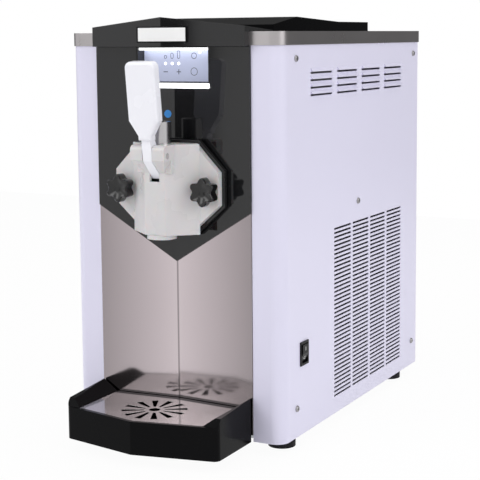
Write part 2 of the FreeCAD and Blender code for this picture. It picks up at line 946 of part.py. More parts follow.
def make_control_plate():
    """The flat lit key plate at the back of the housing."""
    plate = new_body("control_plate")
    wide = d.control_width / 2 - d.fit_gap
    back = d.control_rim_y + d.control_depth - d.control_wall
    face = draw(plate, "front", back)
    high = d.control_top - d.light_gauge - 2 * d.fit_gap
    rectangle(face, -wide, wide, d.control_bottom + d.fit_gap, high)
    pad(plate, face, d.key_plate_gauge)


def make_top_light():
    """The light strip under the top of the control housing."""
    light = new_body("control_light")
    wide = d.control_width / 2 - d.fit_gap
    back = d.control_rim_y + d.control_depth - d.control_wall
    strip = draw(light, "front", back)
    high = d.control_top
    rectangle(strip, -wide, wide, high - d.light_gauge, high)
    pad(light, strip, d.control_depth - 3 * d.control_wall)


def make_light_sill():
    """The sloping lit sill below the control housing."""
    sill = new_body("light_sill")
    wide = d.control_width / 2 + d.control_wall
    high = d.control_bottom - d.control_wall
    low = d.control_bottom - d.sill_drop
    back = d.bulkhead_setback
    section = draw(sill, "side", -wide)
    polygon(section, [
        (back, low),
        (back, high),
        (d.control_rim_y, high),
        (d.control_rim_y - d.sill_proud, low + d.light_gauge / 2),
        (d.control_rim_y - d.sill_proud, low),
    ])
    pad(sill, section, 2 * wide)


def make_front_hood():
    """The black prow over the front, with two roof slopes that fall back and outwards."""
    hood = doc.addObject("PartDesign::Body", "hood_block")
    side = hood_half
    low = d.panel_height - d.hood_drop
    back = -overhang
    prow = draw(hood, "plan", low)
    polygon(prow, both_sides([(0, -d.hood_prow_proud), (side, -d.hood_side_proud), (side, back)]))
    pad(hood, prow, d.hood_prow_top - low)
    deck = draw(hood, "plan", cover_top)
    rectangle(deck, -side, side, back, d.hood_back)
    pad(hood, deck, d.hood_prow_top - cover_top)
    wall = d.hood_wall
    hollow = draw(hood, "plan", low)
    inside = side - wall
    polygon(hollow, both_sides([
        (0, wall - d.hood_prow_proud),
        (inside, wall - d.hood_side_proud),
        (inside, back - wall),
    ]))
    cut(hood, hollow, d.hood_side_top - wall - low, backwards=True)
    roof = [make_roof_cutter(hand) for hand in (-1, 1)]
    trimmed = doc.addObject("Part::Cut", "hood_left_slope")
    trimmed.Base = hood
    trimmed.Tool = roof[0]
    finished = doc.addObject("Part::Cut", "front_hood")
    finished.Base = trimmed
    finished.Tool = roof[1]
    keep("front_hood", finished)


def make_roof_cutter(hand):
    """A tilted block that lies on one roof slope of the hood."""
    apex = Vector(0, -d.hood_prow_proud.number, d.hood_prow_top.number)
    eave = Vector(hand * hood_half.number, -d.hood_side_proud.number, d.hood_side_top.number)
    ridge = Vector(0, d.hood_back.number, d.hood_ridge_back.number)
    normal = (eave - apex).cross(ridge - apex) * hand
    block = doc.addObject("Part::Box", "roof_cutter")
    bind(block, "Length", 4 * hood_half)
    bind(block, "Width", 4 * hood_half)
    bind(block, "Height", 2 * hood_half)
    turn = Rotation(Vector(0, 0, 1), normal)
    middle = turn.multVec(Vector(2 * hood_half.number, 2 * hood_half.number, 0))
    block.Placement = FreeCAD.Placement(apex - middle, turn)
    return block


def badge_arc(reach, rise):
    """Give the radius of a gentle arc by its half width and its rise."""
    return (reach * reach + rise * rise) / (2 * rise)


def facet_y(x):
    """The y of the hood's front facets at a distance from the middle."""
    return (d.hood_prow_proud - d.hood_side_proud) * x / hood_half - d.hood_prow_proud


def bowed_outline(sketch, reach, back, front):
    """Draw an outline with a pointed back and a bowed front between two side lines."""
    side_y = back(reach) - front
    corners = [
        (-reach, side_y),
        (-reach, back(reach)),
        (0, back(as_size(0))),
        (reach, back(reach)),
        (reach, side_y),
    ]
    first = sketch.GeometryCount
    for start, end in zip(corners[:-1], corners[1:]):
        sketch.addGeometry(Part.LineSegment(flat(start), flat(end)), False)
    crest = Vector(0, as_size(side_y - d.badge_rise).number - d.badge_gauge.number, 0)
    sketch.addGeometry(Part.Arc(flat(corners[-1]), crest, flat(corners[0])), False)
    count = len(corners)
    bow = first + count - 1
    for step in range(count - 2):
        sketch.addConstraint(Sketcher.Constraint("Coincident", first + step, 2, first + step + 1, 1))
    for step in range(count - 1):
        fix_point(sketch, first + step, 1, corners[step])
    fix_point(sketch, first + count - 2, 2, corners[-1])
    ends = bow_ends(sketch, bow)
    sketch.addConstraint(Sketcher.Constraint("Coincident", bow, ends[0], first + count - 2, 2))
    sketch.addConstraint(Sketcher.Constraint("Coincident", bow, ends[1], first, 1))
    radius = badge_arc(reach, facet_y(reach) - facet_y(as_size(0)) + d.badge_rise / 4)
    rule = sketch.addConstraint(Sketcher.Constraint("Radius", bow, radius.number))
    bind(sketch, f"Constraints[{rule}]", radius)
    return sketch


def bow_ends(sketch, index):
    """Tell which end of an arc lies on the right and which on the left."""
    start = sketch.getPoint(index, 1)
    return (1, 2) if start.x > 0 else (2, 1)


def make_badge():
    """A bowed bezel on the prow and the bare white plate that it frames."""
    bezel = new_body("badge_bezel")
    reach = d.badge_width / 2
    outline = draw(bezel, "plan", d.badge_bottom)
    bowed_outline(outline, reach, facet_y, d.badge_gauge)
    pad(bezel, outline, d.badge_height)
    plate = new_body("badge_plate")
    border = d.badge_border
    face = draw(plate, "plan", d.badge_bottom + border / 2)
    plate_back(face, reach - border)
    pad(plate, face, d.badge_height - border)


def plate_back(sketch, reach):
    """Draw a thin bowed plate that follows the bezel's front."""
    full = d.badge_width / 2
    rise = facet_y(full) - facet_y(as_size(0)) + d.badge_rise / 4
    radius = badge_arc(full, rise).number
    front_crest = facet_y(full).number - d.badge_gauge.number - rise.number
    centre = Vector(0, front_crest + radius, 0)
    gap = d.running_gap.number
    edges = []
    for extra in (gap, gap + d.badge_gauge.number):
        big = radius + extra
        angle = math.asin(reach.number / big)
        start = -math.pi / 2 - angle
        arc = Part.ArcOfCircle(Part.Circle(centre, Vector(0, 0, 1), big), start, start + 2 * angle)
        edges.append(arc)
    inner, outer = edges
    sketch.addGeometry(inner, False)
    sketch.addGeometry(Part.LineSegment(inner.EndPoint, outer.EndPoint), False)
    sketch.addGeometry(outer, False)
    sketch.addGeometry(Part.LineSegment(outer.StartPoint, inner.StartPoint), False)
    for one, end, two, start in ((0, 2, 1, 1), (1, 2, 2, 2), (2, 1, 3, 1), (3, 2, 0, 1)):
        sketch.addConstraint(Sketcher.Constraint("Coincident", one, end, two, start))


# Hopper and lid

def make_hopper():
    """The stainless mix hopper, hung by its rim on the top cover."""
    hopper = new_body("mix_hopper")
    gauge = d.hopper_gauge
    reach = d.hopper_width / 2
    front = d.hopper_front
    back = front + d.hopper_length
    floor = d.hopper_floor
    corner = d.hopper_corner
    tub = draw(hopper, "plan", floor)
    rounded_rectangle(tub, -reach - gauge, reach + gauge, front - gauge, back + gauge, corner + gauge)
    pad(hopper, tub, cover_top - floor)
    rim = draw(hopper, "plan", cover_top)
    lip = d.hopper_rim
    rounded_rectangle(rim, -reach - lip, reach + lip, front - lip, back + lip, corner + lip)
    pad(hopper, rim, gauge)
    hollow = draw(hopper, "plan", cover_top + gauge)
    rounded_rectangle(hollow, -reach, reach, front, back, corner)
    cut(hopper, hollow, cover_top - floor)
    drain = draw(hopper, "plan", floor + gauge)
    circle(drain, 0, d.feed_tube_y, d.feed_tube_radius + d.fit_gap)
    cut(hopper, drain, gauge)


def make_feed_tube():
    """The air and mix tube that stands in the hopper floor and feeds the cylinder."""
    tube = new_body("feed_tube")
    low = d.axis_z + d.barrel_radius + d.fit_gap
    high = d.hopper_floor + d.feed_tube_stand
    ring = circle(draw(tube, "plan", low), 0, d.feed_tube_y, d.feed_tube_radius)
    circle(ring, 0, d.feed_tube_y, d.feed_tube_radius - d.feed_tube_wall)
    pad(tube, ring, high - low)


def make_lid():
    """The black lift-off hopper lid: a crest behind the hood, lower towards the back."""
    lid = new_body("hopper_lid")
    side = lid_half
    low = cover_top + d.fit_gap
    section = draw(lid, "side", -side)
    polygon(section, [
        (d.lid_front, low),
        (d.lid_front, d.lid_front_top),
        (d.lid_crest_y, d.lid_crest_top),
        (d.lid_step_y, d.lid_back_top),
        (d.lid_back, d.lid_back_top),
        (d.lid_back, low),
    ])
    pad(lid, section, 2 * lid_half)
    back = d.lid_back
    round_edges(lid, d.lid_corner, lambda box: upright(box, y=back))
    wall = d.lid_wall
    hollow = rectangle(draw(lid, "plan", low), wall - side, side - wall, d.lid_front + wall, back - wall)
    cut(lid, hollow, d.lid_front_top - wall - low, backwards=True)


# Freezing cylinder and drive

def tube(label, outer, inner, front, length):
    """A tube on the freezing axis from one y back over a length."""
    body = new_body(label)
    ring = circle(draw(body, "front", front), 0, d.axis_z, outer)
    circle(ring, 0, d.axis_z, inner)
    pad(body, ring, length, backwards=True)
    return body


def drill_feed(body):
    """Open the way of the feed tube down to the axis."""
    hole = draw(body, "plan", d.axis_z + 2 * foam_outer)
    circle(hole, 0, d.feed_tube_y, d.feed_tube_radius + d.fit_gap)
    cut(body, hole, 2 * foam_outer)


def make_cylinder():
    """The stainless freezing cylinder with its closed rear end."""
    barrel = tube("freezing_cylinder", barrel_outer, d.barrel_radius, -d.door_back, d.barrel_length)
    end = circle(draw(barrel, "front", barrel_back - d.barrel_end), 0, d.axis_z, barrel_outer)
    circle(end, 0, d.axis_z, d.drive_radius + d.running_gap)
    pad(barrel, end, d.barrel_end, backwards=True)
    drill_feed(barrel)


def make_jackets():
    """The evaporator jacket and the foam round it."""
    layers = [
        ("evaporator_jacket", jacket_outer, barrel_outer + d.fit_gap),
        ("insulation_jacket", foam_outer, jacket_outer + d.fit_gap),
    ]
    for label, outer, inner in layers:
        drill_feed(tube(label, outer, inner, d.jacket_front, d.jacket_length))


def make_beater():
    """The beater: a helical scraper ribbon on spokes from a central shaft."""
    beater = new_body("beater")
    outer = d.barrel_radius - d.beater_gap
    inner = outer - d.beater_ribbon
    start = d.barrel_end
    shaft_end = barrel_back - d.barrel_end - d.fit_gap
    shaft = circle(draw(beater, "front", start - d.beater_gauge), 0, 0, d.beater_hub)
    pad(beater, shaft, shaft_end - start + d.beater_gauge, backwards=True)
    half_gauge = d.beater_gauge / 2
    for first, backwards in ((0, False), (1, True)):
        spokes = draw(beater, "side", 0)
        for step in range(first, 2 * BEATER_TURNS + 1, 2):
            circle(spokes, start + step * d.beater_pitch / 2, 0, half_gauge)
        pad(beater, spokes, inner + half_gauge, backwards)
    section = draw(beater, "plan", 0)
    rectangle(section, inner, outer, start - half_gauge, start + half_gauge)
    ribbon = beater.newObject("PartDesign::AdditiveHelix", "beater_ribbon_coil")
    ribbon.Profile = section
    ribbon.ReferenceAxis = (section, ["V_Axis"])
    ribbon.Mode = "pitch-turns-angle"
    bind(ribbon, "Pitch", d.beater_pitch)
    ribbon.Turns = BEATER_TURNS
    beater.Tip = ribbon
    bind(beater, "Placement.Base.z", d.foot_height + d.axis_z)


def make_drive():
    """The drive shaft, its seal, the gearbox, the motor and the bracket under them."""
    shaft = new_body("drive_shaft")
    front = barrel_back - d.barrel_end - d.fit_gap
    gearbox_front = barrel_back + d.seal_length
    rod = circle(draw(shaft, "front", front), 0, d.axis_z, d.drive_radius)
    pad(shaft, rod, gearbox_front + d.gearbox_socket - d.fit_gap - front, backwards=True)
    seal_outer = d.drive_radius + d.seal_width
    tube("shaft_seal", seal_outer, d.drive_radius + d.running_gap, barrel_back, d.seal_length)
    reach = d.gearbox_width / 2
    gearbox = new_body("gearbox")
    case = draw(gearbox, "front", gearbox_front)
    rectangle(case, -reach, reach, d.axis_z - reach, d.axis_z + reach)
    pad(gearbox, case, d.gearbox_length, backwards=True)
    round_edges(gearbox, d.corner_radius / 2, lambda box: runs_back(box))
    socket = circle(draw(gearbox, "front", gearbox_front), 0, d.axis_z, d.drive_radius + d.running_gap)
    cut(gearbox, socket, d.gearbox_socket)
    motor_front = gearbox_front + d.gearbox_length
    motor = new_body("drive_motor")
    can = circle(draw(motor, "front", motor_front), 0, d.axis_z, d.motor_radius)
    pad(motor, can, d.motor_length, backwards=True)
    cap = draw(motor, "front", motor_front + d.motor_length)
    circle(cap, 0, d.axis_z, d.motor_radius * MOTOR_CAP)
    pad(motor, cap, d.barrel_end, backwards=True)
    bracket = new_body("drive_bracket")
    gauge = d.bracket_gauge
    low = d.sheet_gauge
    high = d.axis_z - reach
    section = draw(bracket, "side", -bracket_half)
    back = gearbox_front + d.gearbox_length
    polygon(section, [
        (back, high),
        (gearbox_front, high),
        (gearbox_front, high - gauge),
        (back - gauge, high - gauge),
        (back - gauge, low + gauge),
        (gearbox_front, low + gauge),
        (gearbox_front, low),
        (back, low),
    ])
    pad(bracket, section, 2 * bracket_half)


def runs_back(box):
    """Tell whether an edge runs straight back."""
    return box.XLength < CLOSE and box.ZLength < CLOSE and box.YLength > CLOSE


# Dispensing door

def octagon(grow=0):
    """The door's eight-sided outline, grown all round by a lap."""
    side = d.door_width / 2 + grow
    return both_sides([
        (d.door_bottom_width / 2 + grow / 2, d.door_bottom - grow),
        (side, d.door_side_bottom - grow / 2),
        (side, d.door_side_top + grow / 2),
        (d.door_top_width / 2 + grow / 2, d.door_top + grow),
    ])


def spigot_radius():
    """The outside of the ring that fills the front panel's window round the barrel."""
    return barrel_outer + d.fit_gap + d.spigot_wall


def make_door_flange():
    """The black eight-sided collar that the door seats on, with its spigot back to the bulkhead."""
    flange = new_body("door_flange")
    front = -d.door_back
    plate = polygon(draw(flange, "front", front), octagon(d.flange_lap))
    circle(plate, 0, d.axis_z, barrel_outer + d.fit_gap)
    stud_holes(plate)
    pad(flange, plate, d.flange_plate, backwards=True)
    spigot = circle(draw(flange, "front", front + d.flange_plate), 0, d.axis_z, spigot_radius())
    circle(spigot, 0, d.axis_z, barrel_outer + d.fit_gap)
    pad(flange, spigot, d.bulkhead_setback + d.door_back - d.flange_plate, backwards=True)


def stud_holes(sketch):
    """Draw the clearance holes of both door studs."""
    for side in (-1, 1):
        circle(sketch, side * d.knob_x, d.axis_z, d.stud_radius + d.stud_play)


def seal_radii():
    """The inside and outside of the door seal's groove."""
    middle = barrel_outer + d.fit_gap + d.spigot_wall / 2
    return middle - d.seal_groove, middle + d.seal_groove


def make_door_seal():
    """The rubber ring in the back of the door."""
    inner, outer = seal_radii()
    gap = d.seal_squeeze
    tube("door_seal", outer - gap, inner + gap, -d.door_back - d.seal_groove + gap, d.seal_groove - gap)


def make_door():
    """The moulded door: plate, valve column, clevis and the passages of the product."""
    door = new_body("dispensing_door")
    face = -d.door_back - d.door_plate
    plate = polygon(draw(door, "front", -d.door_back), octagon())
    pad(door, plate, d.door_plate)
    height = d.door_top - d.door_bottom
    column = draw(door, "plan", d.door_bottom)
    polygon(column, both_sides([(d.column_face / 2, -d.column_front), (d.column_base / 2, face)]))
    pad(door, column, height)
    add_clevis(door)
    bore = circle(draw(door, "plan", d.door_top), 0, -d.plunger_y, d.plunger_radius + d.running_gap)
    cut(door, bore, height)
    slot = draw(door, "front", -2 * d.clevis_front)
    slot_half = d.slot_width / 2
    rectangle(slot, -slot_half, slot_half, d.slot_bottom, 2 * d.door_top)
    cut(door, slot, 2 * d.clevis_front - d.plunger_y)
    passages = circle(draw(door, "front", -d.door_back), 0, d.port_z, d.port_radius)
    cut(door, passages, d.plunger_y - d.door_back, backwards=True)
    holes = draw(door, "front", face)
    stud_holes(holes)
    cut(door, holes, d.door_plate)
    inner, outer = seal_radii()
    groove = circle(draw(door, "front", -d.door_back), 0, d.axis_z, outer)
    circle(groove, 0, d.axis_z, inner)
    cut(door, groove, d.seal_groove, backwards=True)
    pin = circle(draw(door, "side", d.clevis_width), -d.pivot_y, d.pivot_z, d.pin_radius + d.running_gap)
    cut(door, pin, 2 * d.clevis_width)


def add_clevis(door):
    """The two ears that hold the handle's pin, tapering down into the column."""
    wide = d.clevis_width / 2
    ears = draw(door, "side", -wide)
    polygon(ears, [
        (-d.column_front, d.clevis_foot),
        (-d.column_front, d.door_top),
        (-d.clevis_front, d.door_top),
        (-d.clevis_front, d.clevis_shoulder),
    ])
    pad(door, ears, d.clevis_width)
    rear = draw(door, "plan", d.clevis_foot)
    rectangle(rear, -wide, wide, -d.column_front, -d.plunger_y)
    pad(door, rear, d.door_top - d.clevis_foot)
    for side in (-1, 1):
        taper = draw(door, "front", -2 * d.clevis_front)
        inner = side * d.column_face / 2
        outer = side * wide
        polygon(taper, [(inner, d.clevis_foot), (outer, d.clevis_foot), (outer, d.clevis_shoulder)])
        cut(door, taper, 2 * d.clevis_front - d.column_front)
    front = -d.clevis_front.number
    top = d.door_top.number
    round_edges(door, d.clevis_round, lambda box: across_at(box, front, top))


def across_at(box, y, z):
    """Tell whether an edge runs across the machine at a given y and z."""
    flat_edge = box.YLength < CLOSE and box.ZLength < CLOSE and box.XLength > CLOSE
    return flat_edge and abs(box.YMin - y) < CLOSE and abs(box.ZMin - z) < CLOSE


def make_plunger():
    """The stainless valve plunger with the slot that the handle's nose lifts."""
    plunger = new_body("valve_plunger")
    low, high = d.plunger_bottom, d.plunger_top
    rod = circle(draw(plunger, "plan", low), 0, -d.plunger_y, d.plunger_radius)
    pad(plunger, rod, high - low)
    lean = math.radians(d.handle_lean.number)
    drop = d.nose_reach * math.sin(lean) - d.nose_drop * math.cos(lean)
    nose_z = d.pivot_z + drop
    slot = draw(plunger, "front", -2 * d.plunger_y)
    wide = d.slot_width / 2
    tall = d.nose_half + d.nose_play
    floor = nose_z - tall - d.nose_play
    rectangle(slot, -wide, wide, floor, nose_z + tall + d.nose_lift)
    cut(plunger, slot, 2 * d.plunger_y)
    notch = draw(plunger, "front", -2 * d.plunger_y)
    rectangle(notch, -wide, wide, nose_z + tall, d.pivot_z + d.tongue_back / 2)
    cut(plunger, notch, d.plunger_y - d.plunger_radius + d.nose_notch)
    rim = d.plunger_top
    hollow = circle(draw(plunger, "plan", rim), 0, -d.plunger_y, d.plunger_radius * PLUNGER_CUP)
    cut(plunger, hollow, d.plunger_radius / 2)


def make_nozzle():
    """The star nozzle under the valve column."""
    nozzle = new_body("star_nozzle")
    low = d.door_bottom - d.nozzle_drop
    ring = circle(draw(nozzle, "plan", low), 0, -d.plunger_y, d.nozzle_radius)
    pad(nozzle, ring, d.nozzle_drop)
    star = draw(nozzle, "plan", d.door_bottom)
    points = []
    for step in range(2 * NOZZLE_POINTS):
        reach = d.nozzle_hole - d.nozzle_notch * (step % 2)
        angle = math.pi * step / NOZZLE_POINTS
        points.append((reach * math.sin(angle), reach * math.cos(angle) - d.plunger_y))
    polygon(star, points)
    cut(nozzle, star, d.nozzle_drop)


def make_handle():
    """The white draw handle: a paddle, a neck and a tongue with its lifting nose."""
    handle = new_body("draw_handle")
    wide = d.handle_width / 2
    neck = d.handle_neck_width / 2
    face = draw(handle, "front", d.handle_thickness - d.handle_face)
    polygon(face, both_sides([
        (neck, d.handle_neck),
        (neck, d.handle_neck_top),
        (wide, d.handle_shoulder),
        (wide, d.handle_top),
    ]))
    pad(handle, face, d.handle_thickness)
    top = d.handle_top.number
    round_edges(handle, d.handle_round, lambda box: runs_back(box) and box.ZMin > top - 1)
    front = -d.handle_face.number
    round_edges(handle, d.handle_edge, lambda box: box.YLength < CLOSE and abs(box.YMin - front) < CLOSE)
    tongue = draw(handle, "side", d.nose_play / 4 - d.slot_width / 2)
    back = d.tongue_back
    half_nose = d.nose_half
    overlap = d.handle_neck + d.handle_edge
    polygon(tongue, [
        (-back, overlap),
        (d.handle_thickness - d.handle_face, overlap),
        (back, d.nose_half),
        (d.nose_reach + half_nose, half_nose - d.nose_drop),
        (d.nose_reach - half_nose, -half_nose - d.nose_drop),
        (-back, -back * TONGUE_CHIN),
    ])
    circle(tongue, 0, 0, d.pin_radius + d.running_gap)
    pad(handle, tongue, d.slot_width - d.nose_play / 2)
    handle.Placement.Rotation = Rotation(Vector(1, 0, 0), d.handle_lean.number)
    bind(handle, "Placement.Base.y", front_y - d.pivot_y)
    bind(handle, "Placement.Base.z", d.foot_height + d.pivot_z)


def make_handle_pin():
    """The steel pin across the clevis."""
    pin = new_body("handle_pin")
    wide = d.clevis_width / 2
    rod = circle(draw(pin, "side", -wide), -d.pivot_y, d.pivot_z, d.pin_radius)
    pad(pin, rod, d.clevis_width)


def make_stud(label, side):
    """A fixed stud from the bulkhead through the door."""
    stud = new_body(label)
    rod = circle(draw(stud, "front", d.bulkhead_setback), side * d.knob_x, d.axis_z, d.stud_radius)
    pad(stud, rod, d.bulkhead_setback + d.stud_reach)


def make_knob(label, side):
    """A star knob with scalloped lobes on a door stud."""
    knob = new_body(label)
    seat = -d.door_back - d.door_plate - d.fit_gap
    neck = circle(draw(knob, "front", seat), 0, 0, d.knob_neck_radius)
    pad(knob, neck, d.knob_neck)
    star = circle(draw(knob, "front", seat - d.knob_neck), 0, 0, d.knob_diameter / 2)
    pad(knob, star, d.knob_length)
    face = seat.number - d.knob_neck.number - d.knob_length.number
    round_edges(knob, d.knob_edge, lambda box: box.YLength < CLOSE and abs(box.YMin - face) < CLOSE)
    bite = draw(knob, "front", seat)
    circle(bite, 0, d.knob_diameter / 2 + d.knob_scallop / 3, d.knob_scallop)
    scallop = cut(knob, bite, 2 * d.knob_length, backwards=True)
    in_a_ring(knob, scallop, bite, KNOB_LOBES)
    bore = circle(draw(knob, "front", seat), 0, 0, d.stud_radius + d.running_gap)
    depth = d.stud_reach - d.door_back - d.door_plate
    cut(knob, bore, depth, backwards=True)
    bind(knob, "Placement.Base.x", side * d.knob_x)
    bind(knob, "Placement.Base.z", d.foot_height + d.axis_z)


# Drip tray

def tray_back(x):
    """The y of the tray's back edge, a gap in front of the splash panel."""
    return fold_y(x, -d.splash_proud) - d.tray_gap


def tray_front(x, reach, corner):
    """The y of a pointed front edge at a distance from the middle."""
    return (reach - corner) * as_size(x) / tray_half - reach


def tray_outline(inset_front, inset_back, side):
    """A pointed outline inside the tray, moved in from the front, the back and the sides."""
    reach = d.tray_reach
    corner = d.tray_corner_reach
    return both_sides([
        (0, tray_front(0, reach, corner) + inset_front),
        (side, tray_front(side, reach, corner) + inset_front),
        (side, tray_back(side) - inset_back),
        (0, tray_back(0) - inset_back),
    ])


def make_tray():
    """The black drip tray: a pointed basin between two rising side wings."""
    tray = new_body("drip_tray")
    side = tray_half
    pad(tray, polygon(draw(tray, "plan"), tray_outline(as_size(0), as_size(0), side)), d.tray_height)
    add_wings(tray, side)
    grid_side = side - d.wing_width - d.fit_gap
    gap = d.fit_gap
    seat = tray_outline(d.grid_front_lip - gap, d.grid_back_lip - gap, grid_side + 2 * gap)
    depth = d.grid_gauge + gap
    cut(tray, polygon(draw(tray, "plan", d.tray_height), seat), depth)
    ledge = d.grid_ledge
    basin = tray_outline(d.grid_front_lip + ledge, d.grid_back_lip + ledge, grid_side - ledge)
    cut(tray, polygon(draw(tray, "plan", d.tray_height), basin), d.tray_height - d.tray_floor)
    shoe = draw(tray, "plan")
    wide = d.bracket_width / 2 + gap
    rectangle(shoe, -wide, wide, -d.bracket_reach - gap, d.bulkhead_setback)
    cut(tray, shoe, d.bracket_top + gap, backwards=True)
    corner_y = -d.tray_corner_reach.number
    round_edges(tray, d.tray_corner, lambda box: upright(box) and abs(box.YMin - corner_y) < CLOSE)


def add_wings(tray, side):
    """The two side walls with sloping inner faces, rising from the front corner to the back."""
    for hand in (-1, 1):
        wing = draw(tray, "front", tray_back(side))
        low = d.tray_height
        inner = side - d.wing_width
        corners = [(inner, low), (side, low), (side, d.wing_back_top)]
        polygon(wing, [(hand * x, z) for x, z in corners])
        pad(tray, wing, d.tray_corner_reach + tray_back(side))
    trim = draw(tray, "side", 2 * side)
    far = 2 * d.tray_reach
    polygon(trim, [
        (-far, d.tray_height),
        (-d.tray_corner_reach, d.tray_height),
        (-d.wing_front_reach, d.wing_front_top),
        (tray_back(side), d.wing_back_top),
        (tray_back(side), 2 * d.wing_back_top),
        (-far, 2 * d.wing_back_top),
    ])
    cut(tray, trim, 4 * side)


def make_grid():
    """The stainless drip grid with its ring of tapered rays."""
    grid = new_body("drip_grid")
    side = tray_half - d.wing_width - d.fit_gap
    outline = tray_outline(d.grid_front_lip, d.grid_back_lip, side)
    low = d.tray_height - d.grid_gauge
    hub_y = -d.grid_hub_reach
    shifted = [(x, y - hub_y) for x, y in outline]
    plate = polygon(draw(grid, "plan", low), shifted)
    circle(plate, 0, 0, d.grid_hub_hole)
    pad(grid, plate, d.grid_gauge)
    ray = draw(grid, "plan", d.tray_height)
    polygon(ray, both_sides([
        (d.ray_start_width / 2, d.ray_start),
        (d.ray_end_width / 2, d.ray_end),
    ]))
    opened = cut(grid, ray, d.grid_gauge)
    in_a_ring(grid, opened, ray, GRID_SLOTS)
    bind(grid, "Placement.Base.y", front_y + hub_y)


def make_tray_bracket():
    """The steel shelf on the bulkhead that carries the tray."""
    bracket = new_body("tray_bracket")
    wide = d.bracket_width / 2
    back = d.bulkhead_setback
    gauge = d.sheet_gauge
    section = draw(bracket, "side", -wide)
    polygon(section, [
        (-d.bracket_reach, d.bracket_bottom),
        (back, d.bracket_bottom),
        (back, d.bracket_upstand),
        (back - gauge, d.bracket_upstand),
        (back - gauge, d.bracket_top),
        (-d.bracket_reach, d.bracket_top),
    ])
    pad(bracket, section, d.bracket_width)


# Refrigeration and electronics

def make_condenser():
    """The finned condenser behind the right grille, and the shroud of its fan."""
    condenser = new_body("condenser")
    front, low = d.condenser_front, d.condenser_bottom
    back, high = front + d.condenser_length, low + d.condenser_height
    block = rectangle(draw(condenser, "side", shroud_outer), front, back, low, high)
    pad(condenser, block, d.condenser_depth)
    groove = draw(condenser, "side", condenser_outer)
    step = d.condenser_length / FIN_GROOVES
    rectangle(groove, front + step / 2, front + step / 2 + d.fin_groove, low + step / 2, high - step / 2)
    fins = cut(condenser, groove, d.fin_depth)
    in_rows(condenser, fins, "Y_Axis", FIN_GROOVES, step)
    legs = draw(condenser, "plan", d.sheet_gauge)
    for start in (front, back - d.condenser_gap):
        rectangle(legs, shroud_outer, condenser_outer, start, start + d.condenser_gap)
    pad(condenser, legs, low - d.sheet_gauge)
    shroud = new_body("fan_shroud")
    plate = rectangle(draw(shroud, "side", shroud_inner), front, back, low, high)
    circle(plate, fan_y, fan_z, d.fan_radius + d.fan_clearance)
    pad(shroud, plate, d.shroud_depth)


def make_fan():
    """The axial fan: a hub with pitched blades, drawn about its own axis."""
    fan = new_body("condenser_fan")
    hub = circle(draw(fan, "side", 0), 0, 0, d.fan_hub)
    pad(fan, hub, d.fan_depth)
    bore = circle(draw(fan, "side", d.fan_depth), 0, 0, d.fan_shaft + d.running_gap)
    blade = draw(fan, "plan", d.fan_hub * BLADE_ROOT)
    lean = math.radians(d.blade_pitch.number)
    reach = (d.fan_depth - d.blade_gauge) / 2
    run = reach / math.tan(lean)
    middle = d.fan_depth / 2
    thick = d.blade_gauge / 2
    polygon(blade, [
        (middle - reach - thick, -run),
        (middle - reach + thick, -run),
        (middle + reach + thick, run),
        (middle + reach - thick, run),
    ])
    vane = pad(fan, blade, d.fan_radius - d.fan_hub)
    in_a_ring(fan, vane, bore, FAN_BLADES)
    cut(fan, bore, d.fan_depth)
    bind(fan, "Placement.Base.x", fan_back)
    bind(fan, "Placement.Base.y", front_y + fan_y)
    bind(fan, "Placement.Base.z", d.foot_height + fan_z)


def make_fan_motor():
    """The fan motor with its shaft, and the strap that holds it on the shroud."""
    motor = new_body("fan_motor")
    back = strap_inner
    can = circle(draw(motor, "side", back - d.fan_motor_length), fan_y, fan_z, d.fan_motor_radius)
    pad(motor, can, d.fan_motor_length)
    shaft = circle(draw(motor, "side", back), fan_y, fan_z, d.fan_shaft)
    pad(motor, shaft, fan_back + d.fan_depth - back)
    strap = new_body("fan_strap")
    low = d.condenser_front
    high = low + d.condenser_length
    gauge = d.strap_gauge
    outline = draw(strap, "plan", fan_z - d.strap_width / 2)
    polygon(outline, [
        (shroud_inner, low),
        (strap_outer - gauge, low),
        (strap_outer - gauge, high),
        (shroud_inner, high),
        (shroud_inner, high - gauge),
        (strap_outer, high - gauge),
        (strap_outer, low + gauge),
        (shroud_inner, low + gauge),
    ])
    pad(strap, outline, d.strap_width)
    hole = circle(draw(strap, "side", strap_outer), fan_y, fan_z, d.fan_shaft + d.stud_play)
    cut(strap, hole, gauge)


def make_compressor():
    """The hermetic compressor can on its foot plate."""
    can = new_body("compressor")
    radius = d.compressor_radius
    low = d.sheet_gauge
    foot = d.compressor_foot
    top = low + foot + d.compressor_height
    dome = d.compressor_dome
    section = draw(can, "front", 0)
    polygon(section, [
        (0, low),
        (radius, low),
        (radius, low + foot / 2),
        (radius - foot, low + foot),
        (radius, low + foot + dome / 2),
        (radius, top - dome),
        (radius * DOME_SHOULDER, top - dome / 4),
        (radius * DOME_CROWN, top),
        (0, top),
    ])
    revolve(can, section, "V_Axis")
    bind(can, "Placement.Base.x", d.compressor_x)
    bind(can, "Placement.Base.y", front_y + d.compressor_y)


def make_drier():
    """The copper filter drier that stands beside the drive bracket."""
    drier = new_body("filter_drier")
    low = d.sheet_gauge
    radius = d.drier_radius
    x = d.compressor_x
    y = d.compressor_y - d.compressor_radius - 2 * radius
    can = circle(draw(drier, "plan", low), x, y, radius)
    pad(drier, can, d.drier_length)
    neck = circle(draw(drier, "plan", low + d.drier_length), x, y, radius / 3)
    pad(drier, neck, radius)


def make_control_box():
    """The electronics box on the left side panel."""
    box = new_body("control_box")
    left = -inner_half
    front = d.box_front
    case = draw(box, "side", left)
    rectangle(case, front, front + d.box_length, d.box_bottom, d.box_bottom + d.box_height)
    pad(box, case, d.box_width)
    right = left.number + d.box_width.number
    round_edges(box, d.sheet_gauge, lambda edge: edge.XLength < CLOSE and abs(edge.XMin - right) < CLOSE)


